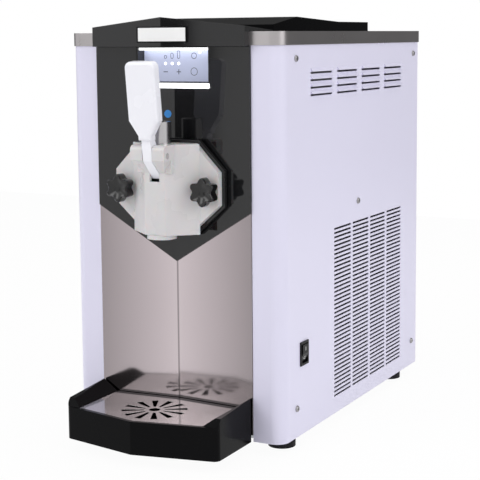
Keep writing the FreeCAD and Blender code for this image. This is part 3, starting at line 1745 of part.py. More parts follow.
def build():
    """Make every piece of the machine."""
    rear_foot_y = d.cabinet_depth - d.foot_rear_inset
    for hand, side in (("left", -1), ("right", 1)):
        make_foot(f"foot_front_{hand}", side, d.foot_front_inset)
        make_foot(f"foot_rear_{hand}", side, rear_foot_y)
    make_base_pan()
    make_bulkhead()
    make_side_panel("left_side_panel", -1)
    cut_switch_hole(make_side_panel("right_side_panel", 1))
    make_rear_panel()
    make_power_inlet()
    make_top_cover()
    make_screws()
    make_switch_bezel()
    make_rocker()
    make_splash_panel()
    make_front_panel()
    make_control_housing()
    make_control_plate()
    make_top_light()
    make_light_sill()
    make_front_hood()
    make_badge()
    make_hopper()
    make_feed_tube()
    make_lid()
    make_cylinder()
    make_jackets()
    make_beater()
    make_drive()
    make_door_flange()
    make_door_seal()
    make_door()
    make_plunger()
    make_nozzle()
    make_handle()
    make_handle_pin()
    for hand, side in (("left", -1), ("right", 1)):
        make_stud(f"door_stud_{hand}", side)
        make_knob(f"knob_{hand}", side)
    make_tray()
    make_grid()
    make_tray_bracket()
    make_condenser()
    make_fan()
    make_fan_motor()
    make_compressor()
    make_drier()
    make_control_box()
    doc.recompute()


def check():
    """Stop where an object failed, a cut took nothing away or a piece has no valid solid."""
    for item in doc.Objects:
        if "Invalid" in item.State or "Error" in item.State:
            raise ValueError(f"{item.Label} failed: {item.State}")
        if item.TypeId == "PartDesign::Pocket":
            before = item.BaseFeature.Shape.Volume
            if item.Shape.Volume > before - 1e-6:
                raise ValueError(f"{item.Label} cuts nothing")
    for label, item in subparts.items():
        if item.Shape.isNull() or not item.Shape.isValid() or not item.Shape.Solids:
            raise ValueError(f"{label} has no valid solid")


def write():
    """Write each piece under its own label."""
    os.makedirs("parts", exist_ok=True)
    for label, item in subparts.items():
        item.Shape.exportStep(f"parts/{label}.step")


build()
check()
write()
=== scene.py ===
"""Dress the countertop ice cream maker: finishes, small details, studio and camera."""
import math

import bmesh
import bpy
from bpy.props import FloatProperty, FloatVectorProperty, PointerProperty
from mathutils import Matrix, Vector
from mathutils.bvhtree import BVHTree


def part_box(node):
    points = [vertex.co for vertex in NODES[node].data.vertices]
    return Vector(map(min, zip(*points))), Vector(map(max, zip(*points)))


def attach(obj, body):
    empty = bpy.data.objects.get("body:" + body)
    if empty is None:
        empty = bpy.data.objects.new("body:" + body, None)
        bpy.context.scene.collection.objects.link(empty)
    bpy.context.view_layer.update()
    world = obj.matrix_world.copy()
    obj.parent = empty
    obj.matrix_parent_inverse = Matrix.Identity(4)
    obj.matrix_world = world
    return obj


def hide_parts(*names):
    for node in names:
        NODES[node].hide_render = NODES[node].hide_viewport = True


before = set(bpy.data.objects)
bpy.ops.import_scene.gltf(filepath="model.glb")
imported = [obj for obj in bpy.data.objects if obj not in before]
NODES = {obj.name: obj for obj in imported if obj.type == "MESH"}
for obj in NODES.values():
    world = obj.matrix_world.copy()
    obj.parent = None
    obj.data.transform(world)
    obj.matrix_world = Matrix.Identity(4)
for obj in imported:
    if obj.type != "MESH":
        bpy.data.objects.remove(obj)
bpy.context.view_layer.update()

bl_info = {
    "name": "Ice cream maker",
    "version": (1, 0, 0),
    "blender": (4, 5, 0),
    "location": "3D View > Sidebar > Ice cream",
    "description": "Finishes and details of a countertop soft-serve ice cream maker",
    "category": "Object",
}

MM = 0.001
CABINET = "cabinet"
# Half of the cabinet's width, where the side panels' outer faces lie
SIDE = 165 * MM

# Camera: place in metres, angles in radians, focal length and centre in pixels of a square
# picture, and width of the sensor in millimetres
PICTURE = 480
FOCAL = 1298.26
CENTRE_V = 190
SENSOR = 36
CAMERA_AT = Vector((0.90073, -1.71338, 0.56170))
YAW = 0.4841
PITCH = 0.1178
ROLL = -0.0085

# Faces that meet at more than this angle keep a sharp edge
SHARP = math.radians(35)

# Detail of the noise in the shared effects, and samples of the soft edges
CLOUD_DETAIL = 4
BRUSH_DETAIL = 3
EDGE_SAMPLES = 6
# Cosine between a face and its soft edge where the lighter edge begins, and where it is full: rubbing
# wear, and on the badge bezel and door collar a painted highlight
WORN_AND_LIT_EDGE = (0.995, 0.8)
# The middle of the cloud's range, over which roughness goes from least to most
CLOUD_RANGE = (0.3, 0.7)
# The least roughness of a finish
SMOOTHEST = 0.02


def colour(name, words, value):
    """A colour that the user can change."""
    return FloatVectorProperty(name=name, description=words, default=value, size=3,
                               min=0, max=1, subtype="COLOR")


def length(name, words, value):
    """A length that the user can change."""
    return FloatProperty(name=name, description=words, default=value, min=0, unit="LENGTH",
                         precision=5)


def share(name, words, value):
    """A value from nothing to full."""
    return FloatProperty(name=name, description=words, default=value, min=0, max=1,
                         subtype="FACTOR")


class FinishSettings(bpy.types.PropertyGroup):
    """Colours and finishes of the machine."""

    paint: colour("Paint", "Powder coat of the side and rear panels", (0.76, 0.74, 0.9))
    # The splash steel is its brightest painted reflection beside the fold; the painted light darkens
    # it at the crease and towards the sides
    splash: colour("Splash steel", "Brushed stainless at the splash panel's fold", (0.58, 0.51, 0.53))
    grid_steel: colour("Grid steel", "Brushed stainless of the drip grid", (0.42, 0.4, 0.395))
    cover_steel: colour("Cover steel", "Stainless of the top cover", (0.4, 0.38, 0.385))
    bright_steel: colour("Bright steel", "Steel of hopper, studs and drive", (0.62, 0.61, 0.62))
    gloss_black: colour("Gloss black", "Front panel, hood and control housing", (0.008, 0.008, 0.009))
    satin_black: colour("Satin black", "Collar, inlet, fan and control box", (0.012, 0.012, 0.013))
    valve_steel: colour("Valve steel", "Turned steel of the draw valve", (0.46, 0.45, 0.46))
    tray_black: colour("Tray black", "Tray, lid, switch, bezel and knobs", (0.003, 0.003, 0.0035))
    door_plastic: colour("Door plastic", "Milky plastic of door and nozzle", (0.68, 0.66, 0.67))
    handle_plastic: colour("Handle plastic", "White plastic of the handle", (0.92, 0.92, 0.98))
    badge: colour("Badge plate", "Bare plate on the prow", (0.93, 0.93, 0.93))
    # The key plate has no lamp behind it: its glow is painted light
    key_plate: colour("Key plate", "Lit plate of the controls", (0.4, 0.43, 0.57))
    signs: colour("Signs", "Printed signs on the key plate", (0.03, 0.04, 0.08))
    rubber: colour("Rubber", "Feet and seals", (0.012, 0.011, 0.014))
    dot: colour("Blue dot", "Plain round mark on the front panel", (0.02, 0.22, 0.6))
    paint_roughness: share("Paint roughness", "Roughness of the powder coat", 0.36)
    gloss_roughness: share("Gloss roughness", "Roughness of the black gloss", 0.06)
    steel_roughness: share("Steel roughness", "Roughness of the cover and hopper", 0.3)
    splash_roughness: share("Splash roughness", "Roughness of the splash panel and grid", 0.1)


class SizeSettings(bpy.types.PropertyGroup):
    """Sizes of what is added to the machine."""

    print_rise: length("Print rise", "How far a sign stands off its plate", 0.12 * MM)
    line: length("Line", "Width of a printed line", 0.7 * MM)
    lamp_radius: length("Lamp", "Radius of a lamp on the key plate", 2.0 * MM)
    soft_edge: length("Soft edge", "Rounding of moulded edges", 0.9 * MM)
    sheet_edge: length("Sheet edge", "Rounding of sheet edges", 0.4 * MM)
    dot_radius: length("Dot", "Radius of the plain blue mark", 5.4 * MM)
    screw_radius: length("Screw", "Radius of a panel screw's head", 4.5 * MM)
    screw_height: length("Screw height", "Height of a panel screw's head", 2.6 * MM)
    cross_width: length("Cross", "Width of the slots in a screw", 1.2 * MM)
    ray_start: length("Ray start", "Where a slot of the drip grid begins", 14 * MM)
    ray_end: length("Ray end", "Where a slot of the drip grid ends", 44.5 * MM)
    ray_root: length("Ray root", "Width of a slot where it begins", 3.4 * MM)
    ray_tip: length("Ray tip", "Width of a slot where it ends", 9.4 * MM)
    grid_hole: length("Grid hole", "Radius of the hole in the middle of the grid", 7.6 * MM)


# Nodes

def feed(tree, socket, value):
    """Set a socket to a value, or link it to the socket that gives one."""
    if isinstance(value, bpy.types.NodeSocket):
        tree.links.new(value, socket)
    else:
        socket.default_value = value


def joined(tree, operation, first, second=0):
    """Join two values by a sum of the given kind."""
    node = tree.nodes.new("ShaderNodeMath")
    node.operation = operation
    feed(tree, node.inputs[0], first)
    feed(tree, node.inputs[1], second)
    return node.outputs["Value"]


def graded(tree, value, start, end, low=0, high=1, way="SMOOTHSTEP"):
    """Go from one level to another while a value goes from start to end."""
    node = tree.nodes.new("ShaderNodeMapRange")
    node.interpolation_type = way
    labels = ("Value", "From Min", "From Max", "To Min", "To Max")
    for label, given in zip(labels, (value, start, end, low, high)):
        feed(tree, node.inputs[label], given)
    return node.outputs["Result"]


def mixed(tree, factor, first, second, way="MIX"):
    """Mix two colours by a factor."""
    node = tree.nodes.new("ShaderNodeMix")
    node.data_type = "RGBA"
    node.blend_type = way
    for label, given in (("Factor", factor), ("A", first), ("B", second)):
        feed(tree, node.inputs[label], given)
    return node.outputs["Result"]


# Node groups shared by the finishes

def new_group(name, inputs, outputs):
    """Start a shader node group with named sockets."""
    group = bpy.data.node_groups.new(name, "ShaderNodeTree")
    for label, kind in inputs:
        group.interface.new_socket(name=label, in_out="INPUT", socket_type=kind)
    for label, kind in outputs:
        group.interface.new_socket(name=label, in_out="OUTPUT", socket_type=kind)
    start = group.nodes.new("NodeGroupInput")
    end = group.nodes.new("NodeGroupOutput")
    return group, start.outputs, end.inputs


def cloud_group():
    """Slow variation over a surface, for colour and roughness."""
    group, given, out = new_group(
        "Cloudy variation",
        [("Scale", "NodeSocketFloat")],
        [("Cloud", "NodeSocketFloat")],
    )
    place = group.nodes.new("ShaderNodeTexCoord")
    noise = group.nodes.new("ShaderNodeTexNoise")
    noise.inputs["Detail"].default_value = CLOUD_DETAIL
    group.links.new(place.outputs["Object"], noise.inputs["Vector"])
    group.links.new(given["Scale"], noise.inputs["Scale"])
    group.links.new(noise.outputs["Fac"], out["Cloud"])
    return group


def brush_group():
    """Fine lines drawn out along one direction, as brushing leaves them."""
    group, given, out = new_group(
        "Brushed lines",
        [("Spread", "NodeSocketVector")],
        [("Lines", "NodeSocketFloat")],
    )
    place = group.nodes.new("ShaderNodeTexCoord")
    stretch = group.nodes.new("ShaderNodeVectorMath")
    stretch.operation = "MULTIPLY"
    noise = group.nodes.new("ShaderNodeTexNoise")
    noise.inputs["Scale"].default_value = 1
    noise.inputs["Detail"].default_value = BRUSH_DETAIL
    group.links.new(place.outputs["Object"], stretch.inputs[0])
    group.links.new(given["Spread"], stretch.inputs[1])
    group.links.new(stretch.outputs["Vector"], noise.inputs["Vector"])
    group.links.new(noise.outputs["Fac"], out["Lines"])
    return group


def edge_group():
    """Rounded normals along sharp edges, and a mask of those edges."""
    group, given, out = new_group(
        "Soft edges",
        [("Radius", "NodeSocketFloat")],
        [("Normal", "NodeSocketVector"), ("Edge", "NodeSocketFloat")],
    )
    bevel = group.nodes.new("ShaderNodeBevel")
    bevel.samples = EDGE_SAMPLES
    facing_out = group.nodes.new("ShaderNodeNewGeometry")
    dot = group.nodes.new("ShaderNodeVectorMath")
    dot.operation = "DOT_PRODUCT"
    group.links.new(given["Radius"], bevel.inputs["Radius"])
    group.links.new(bevel.outputs["Normal"], dot.inputs[0])
    group.links.new(facing_out.outputs["Normal"], dot.inputs[1])
    group.links.new(bevel.outputs["Normal"], out["Normal"])
    group.links.new(graded(group, dot.outputs["Value"], *WORN_AND_LIT_EDGE, way="LINEAR"), out["Edge"])
    return group


GROUPS = {}
FINISHES = {}


def shared(name):
    """Give a shared group, built on first use."""
    makers = {"cloud": cloud_group, "brush": brush_group, "edge": edge_group}
    if name not in GROUPS:
        GROUPS[name] = makers[name]()
    return GROUPS[name]


# Finishes

def placed(tree, name, socket, value):
    """Put a shared group into a material, with its value."""
    node = tree.nodes.new("ShaderNodeGroup")
    node.node_tree = shared(name)
    node.inputs[socket].default_value = value
    return node


def shaded(base, amount):
    """A colour made lighter or darker by a share."""
    return tuple(min(1, part * (1 + amount)) for part in base) + (1,)


def add_painted_fold_light(tree, tone, painted_fold_light):
    """Paint reflection and shade into a colour: a painted dark crease at the fold in the middle, a
    painted bright reflection beside it, and painted darkening towards both sides.
    """
    place = tree.nodes.new("ShaderNodeTexCoord")
    split = tree.nodes.new("ShaderNodeSeparateXYZ")
    tree.links.new(place.outputs["Object"], split.inputs["Vector"])
    away = joined(tree, "ABSOLUTE", split.outputs["X"])
    ramp = tree.nodes.new("ShaderNodeValToRGB")
    tree.links.new(joined(tree, "DIVIDE", away, painted_fold_light["reach"]), ramp.inputs["Fac"])
    stops = ramp.color_ramp.elements
    for where, _ in painted_fold_light["levels"][1:-1]:
        stops.new(where)
    for stop, (where, level) in zip(stops, painted_fold_light["levels"]):
        stop.position = where
        stop.color = (level, level, level, 1)
    return mixed(tree, 1, tone, ramp.outputs["Color"], "MULTIPLY")


def bumped(tree, height, depth, normal):
    """Raise a surface by a height, over its soft edges where it has them."""
    bump = tree.nodes.new("ShaderNodeBump")
    bump.inputs["Strength"].default_value = 1
    bump.inputs["Distance"].default_value = depth
    tree.links.new(height, bump.inputs["Height"])
    if normal:
        tree.links.new(normal, bump.inputs["Normal"])
    return bump.outputs["Normal"]


def finish(name, base, roughness, metallic=0, vary=0.05, cloud=14, spread=0.05, edge=0.0,
           edge_wear_and_highlight=0.0, grain=None, lines=None, painted_fold_light=None, constants=None):
    """Make a finish: cloudy colour and roughness, soft edges with wear and a painted highlight, a
    painted reflection and crease shade across a fold, and grain or brushed lines.
    """
    material = bpy.data.materials.new(name)
    material.use_nodes = True
    tree = material.node_tree
    shader = tree.nodes["Principled BSDF"]
    shader.inputs["Metallic"].default_value = metallic
    for socket, value in (constants or {}).items():
        shader.inputs[socket].default_value = value
    clouds = placed(tree, "cloud", "Scale", cloud).outputs["Cloud"]
    least = max(SMOOTHEST, roughness - spread)
    most = min(1, roughness + spread)
    sheen = graded(tree, clouds, *CLOUD_RANGE, least, most, "LINEAR")
    tree.links.new(sheen, shader.inputs["Roughness"])
    tone = mixed(tree, clouds, shaded(base, -vary), shaded(base, vary))
    # Paint the fold's reflection and crease shade into the colour
    if painted_fold_light:
        tone = add_painted_fold_light(tree, tone, painted_fold_light)
    normal = None
    if edge:
        soft = placed(tree, "edge", "Radius", edge)
        normal = soft.outputs["Normal"]
        # Lighter edges: rubbing wear, and a painted highlight along the edges
        if edge_wear_and_highlight:
            tone = mixed(tree, soft.outputs["Edge"], tone, shaded(base, edge_wear_and_highlight))
    tree.links.new(tone, shader.inputs["Base Color"])
    if lines:
        brushed = placed(tree, "brush", "Spread", lines["spread"])
        normal = bumped(tree, brushed.outputs["Lines"], lines["depth"], normal)
    elif grain:
        dust = placed(tree, "cloud", "Scale", grain["scale"])
        normal = bumped(tree, dust.outputs["Cloud"], grain["depth"], normal)
    if normal:
        tree.links.new(normal, shader.inputs["Normal"])
    FINISHES[name] = material
    return material


def glowing_finish(name, base, strength, cloud, roughness=0.25):
    """Make a finish that glows: a lamp's light, or painted light where the part is no lamp."""
    material = finish(name, base, roughness, cloud=cloud)
    tree = material.node_tree
    shader = tree.nodes["Principled BSDF"]
    source = shader.inputs["Base Color"].links[0].from_socket
    tree.links.new(source, shader.inputs["Emission Color"])
    shader.inputs["Emission Strength"].default_value = strength


def make_finishes(look, size):
    """Make every finish of the machine from the settings."""
    soft, sheet = size.soft_edge, size.sheet_edge
    # Grain of paint, mouldings, foam and castings: how fine, and how deep
    peel = {"scale": 900, "depth": 0.04 * MM}
    mould = {"scale": 2600, "depth": 0.03 * MM}
    cells = {"scale": 500, "depth": 0.6 * MM}
    cast = {"scale": 700, "depth": 0.2 * MM}
    # Brushing: how fine its lines are across it and along it, and how deep
    fine, drawn = 2600, 14
    upright = {"spread": (fine, fine, drawn), "depth": 0.005 * MM}
    across = {"spread": (drawn, fine, fine), "depth": 0.006 * MM}
    along = {"spread": (fine, drawn, fine), "depth": 0.02 * MM}
    # Painted reflection and crease shade on the splash panel from its fold to its sides: share of the
    # way, and how bright the painted light makes it
    levels = ((0, 0.5), (0.005, 0.5), (0.01, 1), (0.45, 0.72), (0.92, 0.42))
    fold = {"reach": SIDE, "levels": levels}
    steel = look.steel_roughness
    finish("white_paint", look.paint, look.paint_roughness, edge=sheet, grain=peel, vary=0.015,
           cloud=3)
    finish("splash_steel", look.splash, look.splash_roughness, 1, edge=sheet, lines=upright,
           cloud=6, spread=0.03, painted_fold_light=fold)
    finish("cover_steel", look.cover_steel, steel, 1, edge=sheet, lines=across)
    finish("grid_steel", look.grid_steel, look.splash_roughness, 1, edge=sheet, lines=across,
           spread=0.03)
    finish("hopper_steel", look.bright_steel, steel, 1, edge=sheet, lines=along)
    finish("bright_steel", look.bright_steel, 0.16, 1, edge=sheet, lines=across)
    finish("valve_steel", look.valve_steel, 0.2, 1, edge=sheet, lines=upright)
    finish("screw_steel", (0.36, 0.35, 0.36), 0.3, 1, edge=sheet)
    finish("galvanised", (0.5, 0.52, 0.54), 0.45, 1, vary=0.2, cloud=60, edge=sheet)
    finish("gloss_black", look.gloss_black, look.gloss_roughness, vary=0.1, edge=soft,
           spread=0.02, cloud=4)
    finish("tray_black", look.tray_black, 0.16, vary=0.1, edge=soft, spread=0.03, cloud=5,
           constants={"Specular IOR Level": 0.06})
    finish("lid_black", look.tray_black, 0.2, vary=0.1, edge=soft, spread=0.03, cloud=5,
           constants={"Specular IOR Level": 0.02})
    finish("switch_black", look.tray_black, 0.3, edge=sheet, grain=mould,
           constants={"Specular IOR Level": 0.12})
    # The bezel's much lighter edges are a painted highlight
    finish("bezel_black", look.tray_black, 0.12, edge=soft, edge_wear_and_highlight=14,
           constants={"Specular IOR Level": 0.05})
    finish("knob_black", look.tray_black, 0.16, vary=0.15, cloud=40, grain=mould,
           constants={"Specular IOR Level": 0.5})
    # Lighter edges: wear, and a painted highlight along the door collar's edges
    finish("satin_black", look.satin_black, 0.28, edge=sheet, grain=mould, edge_wear_and_highlight=0.6)
    finish("door_plastic", look.door_plastic, 0.28, edge=soft, vary=0.04,
           constants={"Subsurface Weight": 0.25, "Subsurface Scale": 0.01})
    finish("handle_plastic", look.handle_plastic, 0.25, edge=soft, vary=0.015, grain=mould)
    finish("badge_plate", look.badge, 0.2, vary=0.02)
    finish("rubber", look.rubber, 0.6, edge=soft, grain=mould, edge_wear_and_highlight=0.5,
           constants={"Specular IOR Level": 0.15})
    finish("copper", (0.62, 0.3, 0.19), 0.3, 1, vary=0.2, edge=sheet)
    finish("foam", (0.72, 0.62, 0.38), 0.85, vary=0.12, cloud=120, grain=cells)
    finish("motor_paint", (0.06, 0.065, 0.075), 0.4, edge=sheet, grain=peel)
    finish("compressor_black", (0.012, 0.012, 0.012), 0.35, edge=soft, grain=peel)
    finish("gear_case", (0.14, 0.145, 0.15), 0.55, 0.6, edge=soft, grain=cast)
    # The fins' near-black stands in for the shade behind the side grille: painted shade
    finish("fin_metal", (0.03, 0.03, 0.033), 0.5, 0.4, edge=sheet, lines=upright)
    finish("signs", look.signs, 0.4)
    finish("blue_dot", look.dot, 0.35, vary=0.1, cloud=200)
    finish("mark_white", (0.8, 0.8, 0.8), 0.4)
    # The key plate's glow is painted light; the lens and the lamps are real lights
    glowing_finish("key_plate", look.key_plate, 0.45, cloud=9)
    glowing_finish("light_lens", (0.95, 0.97, 1.0), 2.6, cloud=30)
    glowing_finish("lamp", (1.0, 1.0, 1.0), 1.6, cloud=90)


def dress(finish_name, *names):
    """Give CAD nodes a finish."""
    for name in names:
        for holder in NODES[name].material_slots:
            holder.material = FINISHES[finish_name]


# Meshes

def add_piece(name, mesh, finish_name, body, smooth=True):
    """Link a finished mesh to the scene and let it ride on its body."""
    data = bpy.data.meshes.new(name)
    bmesh.ops.recalc_face_normals(mesh, faces=mesh.faces)
    mesh.to_mesh(data)
    mesh.free()
    piece = bpy.data.objects.new(name, data)
    bpy.context.scene.collection.objects.link(piece)
    data.materials.append(FINISHES[finish_name])
    if smooth:
        data.shade_smooth()
        data.set_sharp_from_angle(angle=SHARP)
    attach(piece, body)
    return piece


def ring(mesh, outline, at, height):
    """Put an outline into a mesh at a height."""
    return [mesh.verts.new(at @ Vector((x, y, height))) for x, y in outline]


def wall(mesh, low, high):
    """Join two rings of as many points by a wall."""
    count = len(low)
    for here in range(count):
        there = (here + 1) % count
        mesh.faces.new((low[here], low[there], high[there], high[here]))


def cap(mesh, *rings):
    """Fill a ring, leaving open any other rings inside it."""
    edges = []
    for points in rings:
        for here, there in zip(points, points[1:] + points[:1]):
            edges.append(mesh.edges.get((here, there)) or mesh.edges.new((here, there)))
    bmesh.ops.triangle_fill(mesh, use_beauty=True, edges=edges)


def raise_outlines(mesh, outlines, at, rise):
    """Raise a flat shape from its outline and the holes in it, by a matrix."""
    low = [ring(mesh, outline, at, 0) for outline in outlines]
    high = [ring(mesh, outline, at, rise) for outline in outlines]
    for below, above in zip(low, high):
        wall(mesh, below, above)
    cap(mesh, *low)
    cap(mesh, *high)


def round_outline(radius, stretch=0.0, count=32, x=0.0, y=0.0):
    """Points of a circle, or of a long round shape that is stretched upwards."""
    points = []
    for step in range(count):
        angle = 2 * math.pi * step / count
        lift = stretch / 2 if math.sin(angle) >= 0 else -stretch / 2
        points.append((x + radius * math.cos(angle), y + radius * math.sin(angle) + lift))
    return points


def hoop_outlines(radius, line, stretch=0.0, x=0.0, y=0.0):
    """The outer and inner outline of a printed ring."""
    return [round_outline(edge, stretch, x=x, y=y) for edge in (radius, radius - line)]


def bar_outline(wide, tall, x=0.0, y=0.0):
    """Points of an upright rectangle about a place."""
    return [(x - wide / 2, y - tall / 2), (x + wide / 2, y - tall / 2),
            (x + wide / 2, y + tall / 2), (x - wide / 2, y + tall / 2)]


def cross_outline(wide, reach):
    """Points of an upright cross about the middle."""
    half = wide / 2
    arm = [(half, -reach), (half, -half), (reach, -half), (reach, half), (half, half),
           (half, reach)]
    return arm + [(-x, -y) for x, y in arm]


def facing(place, outward):
    """A matrix that stands a shape on a face: its y up, its z outwards."""
    out = Vector(outward).normalized()
    right = Vector((0, 0, 1)).cross(out).normalized()
    up = out.cross(right)
    turn = Matrix((right, up, out)).transposed()
    return Matrix.Translation(Vector(place)) @ turn.to_4x4()


def front_of(name, x, z):
    """The place and direction of a node's face, met from the front."""
    data = NODES[name].data
    corners = [corner.co for corner in data.vertices]
    tree = BVHTree.FromPolygons(corners, [face.vertices for face in data.polygons])
    place, outward, _, _ = tree.ray_cast(Vector((x, -1, z)), Vector((0, 1, 0)))
    return place, outward


def settings():
    """The machine's settings."""
    return bpy.context.scene.ice_cream


# Operators

class ICE_OT_finishes(bpy.types.Operator):
    """Make the finishes of the machine"""

    bl_idname = "ice.finishes"
    bl_label = "Finishes"

    def execute(self, context):
        make_finishes(settings().finishes, settings().sizes)
        return {"FINISHED"}


class ICE_OT_cabinet(bpy.types.Operator):
    """Paint the panels, cover, base and feet"""

    bl_idname = "ice.cabinet"
    bl_label = "Cabinet"

    def execute(self, context):
        dress("white_paint", "left_side_panel", "right_side_panel", "rear_panel")
        dress("cover_steel", "top_cover")
        dress("galvanised", "base_pan", "front_bulkhead", "tray_bracket")
        feet = [name for name in NODES if name.startswith("foot_")]
        dress("rubber", *feet)
        return {"FINISHED"}


class ICE_OT_screws(bpy.types.Operator):
    """Make the domed, cross-slotted panel screws"""

    bl_idname = "ice.screws"
    bl_label = "Panel screws"

    # Places on each side panel, in millimetres: how far back, and how high
    places = ((-152.9, 56.5), (-152.9, 532), (291.6, 56.5), (291.6, 532), (61.6, 318))
    # The head's outline from its foot to its flat top, as shares of its radius and height
    profile = ((1, 0), (1, 0.35), (0.9, 0.72), (0.72, 1))
    # The cross in the head, as shares of its radius and height
    slot_reach = 0.5
    slot_depth = 0.5

    def execute(self, context):
        mesh = bmesh.new()
        for hand in (-1, 1):
            for y, z in self.places:
                self.add_head(mesh, facing((hand * SIDE, y * MM, z * MM), (hand, 0, 0)))
        piece = add_piece("panel_screw_heads", mesh, "screw_steel", CABINET)
        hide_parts("panel_screws")
        return {"FINISHED"}

    def add_head(self, mesh, at):
        """One head: stepped rings up to the top, and a cross sunk into it."""
        sizes = settings().sizes
        tall = sizes.screw_height
        rings = []
        for wide, high in self.profile:
            rings.append(ring(mesh, round_outline(wide * sizes.screw_radius), at, high * tall))
        for below, above in zip(rings[:-1], rings[1:]):
            wall(mesh, below, above)
        cap(mesh, rings[0])
        outline = cross_outline(sizes.cross_width, self.slot_reach * sizes.screw_radius)
        mouth = ring(mesh, outline, at, tall)
        floor = ring(mesh, outline, at, tall * (1 - self.slot_depth))
        cap(mesh, rings[-1], mouth)
        wall(mesh, mouth, floor)
        cap(mesh, floor)


class ICE_OT_inlet(bpy.types.Operator):
    """Finish the power inlet and set its pins"""

    bl_idname = "ice.inlet"
    bl_label = "Power inlet"

    # Pins in millimetres: places from the middle of the socket, section and length, and how far
    # back the floor of the socket lies
    pins = ((-7, -2), (7, -2), (0, 2.5))
    section = (2, 4)
    reach = 14
    floor = 292.1

    def execute(self, context):
        dress("satin_black", "power_inlet")
        low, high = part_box("power_inlet")
        middle = (low + high) / 2
        at = facing((middle.x, self.floor * MM, middle.z), (0, 1, 0))
        wide, tall = (part * MM for part in self.section)
        mesh = bmesh.new()
        for x, y in self.pins:
            outline = bar_outline(wide, tall, x * MM, y * MM)
            raise_outlines(mesh, [outline], at, self.reach * MM)
        add_piece("inlet_pins", mesh, "bright_steel", CABINET, smooth=False)
        return {"FINISHED"}


class ICE_OT_switch(bpy.types.Operator):
    """Finish the rocker switch and mark its two ends"""

    bl_idname = "ice.switch"
    bl_label = "Switch"

    # Signs in millimetres: the bar on the upper half, the ring on the lower half, and where that
    # half faces
    bar = (1.1, 5.2)
    bar_place = (168.17, -130.1, 136)
    ring_radius = 2.3
    ring_place = (166.2, -130.1, 123.15)
    lower_slope = (0.951, 0, -0.309)

    def execute(self, context):
        dress("switch_black", "switch_bezel", "rocker")
        sizes = settings().sizes
        mesh = bmesh.new()
        wide, tall = (part * MM for part in self.bar)
        upper = facing(Vector(self.bar_place) * MM, (1, 0, 0))
        raise_outlines(mesh, [bar_outline(wide, tall)], upper, sizes.print_rise)
        lower = facing(Vector(self.ring_place) * MM, self.lower_slope)
        raise_outlines(mesh, hoop_outlines(self.ring_radius * MM, sizes.line), lower, sizes.print_rise)
        add_piece("switch_signs", mesh, "mark_white", "switch_key", smooth=False)
        return {"FINISHED"}


class ICE_OT_front(bpy.types.Operator):
    """Finish the front panel, hood, badge and splash panel"""

    bl_idname = "ice.front"
    bl_label = "Front"

    # The plain mark behind the valve, in millimetres: to the right, and up
    dot = (-10.3, 457.5)

    def execute(self, context):
        dress("gloss_black", "front_panel", "front_hood", "control_housing")
        dress("bezel_black", "badge_bezel")
        dress("badge_plate", "badge_plate")
        dress("splash_steel", "splash_panel")
        x, z = (part * MM for part in self.dot)
        sizes = settings().sizes
        mesh = bmesh.new()
        at = facing(*front_of("front_panel", x, z))
        raise_outlines(mesh, [round_outline(sizes.dot_radius)], at, sizes.print_rise)
        add_piece("blue_dot", mesh, "blue_dot", CABINET, smooth=False)
        return {"FINISHED"}


class ICE_OT_controls(bpy.types.Operator):
    """Give the key plate a painted glow, light its lens and lamps, and print its signs"""

    bl_idname = "ice.controls"
    bl_label = "Controls"

    # Places on the key plate, right of its middle and above its lower edge, in millimetres
    columns = (-20.8, -10.4, 0.0)
    drop_heights = (4.2, 7.4, 10.6)
    drop_foot = 31.2
    drop_radius = 2.3
    lamp_row = 24.3
    key_row = 13.0
    key_bar = (6.8, 1.0)
    power = (24.1, 34.8)
    power_radius = 4.2
    power_lamp = (33.4, 39.8)
    round_key = (24.1, 13.5)
    round_key_radius = 5.4

    def execute(self, context):
        dress("key_plate", "control_plate")
        dress("light_lens", "control_light", "light_sill")
        sizes = settings().sizes
        low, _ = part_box("control_plate")
        at = facing((0, low.y, low.z), (0, -1, 0))
        line, rise = sizes.line, sizes.print_rise
        signs = bmesh.new()
        radius = self.drop_radius * MM
        for x, tall in zip(self.columns, self.drop_heights):
            middle = (self.drop_foot + tall / 2) * MM
            stretch = tall * MM - 2 * radius + line
            raise_outlines(signs, hoop_outlines(radius, line, stretch, x * MM, middle), at, rise)
        long, thin = (part * MM for part in self.key_bar)
        left, right = self.columns[0] * MM, self.columns[2] * MM
        row = self.key_row * MM
        raise_outlines(signs, [bar_outline(long, thin, left, row)], at, rise)
        plus = [(x + right, y + row) for x, y in cross_outline(thin, long / 2)]
        raise_outlines(signs, [plus], at, rise)
        rings = ((self.power, self.power_radius), (self.round_key, self.round_key_radius))
        for (x, y), radius in rings:
            outlines = hoop_outlines(radius * MM, line, x=x * MM, y=y * MM)
            raise_outlines(signs, outlines, at, rise)
        add_piece("key_signs", signs, "signs", CABINET, smooth=False)
        lamps = bmesh.new()
        spots = [(x, self.lamp_row) for x in self.columns] + [self.power_lamp]
        for x, y in spots:
            outline = round_outline(sizes.lamp_radius, x=x * MM, y=y * MM)
            raise_outlines(lamps, [outline], at, rise)
        add_piece("key_lamps", lamps, "lamp", CABINET, smooth=False)
        return {"FINISHED"}


class ICE_OT_door(bpy.types.Operator):
    """Finish the dispensing door, its valve and its handle"""

    bl_idname = "ice.door"
    bl_label = "Door and valve"

    def execute(self, context):
        dress("door_plastic", "dispensing_door", "star_nozzle")
        dress("satin_black", "door_flange")
        dress("rubber", "door_seal")
        dress("valve_steel", "valve_plunger")
        dress("bright_steel", "handle_pin", "door_stud_left", "door_stud_right")
        dress("handle_plastic", "draw_handle")
        return {"FINISHED"}


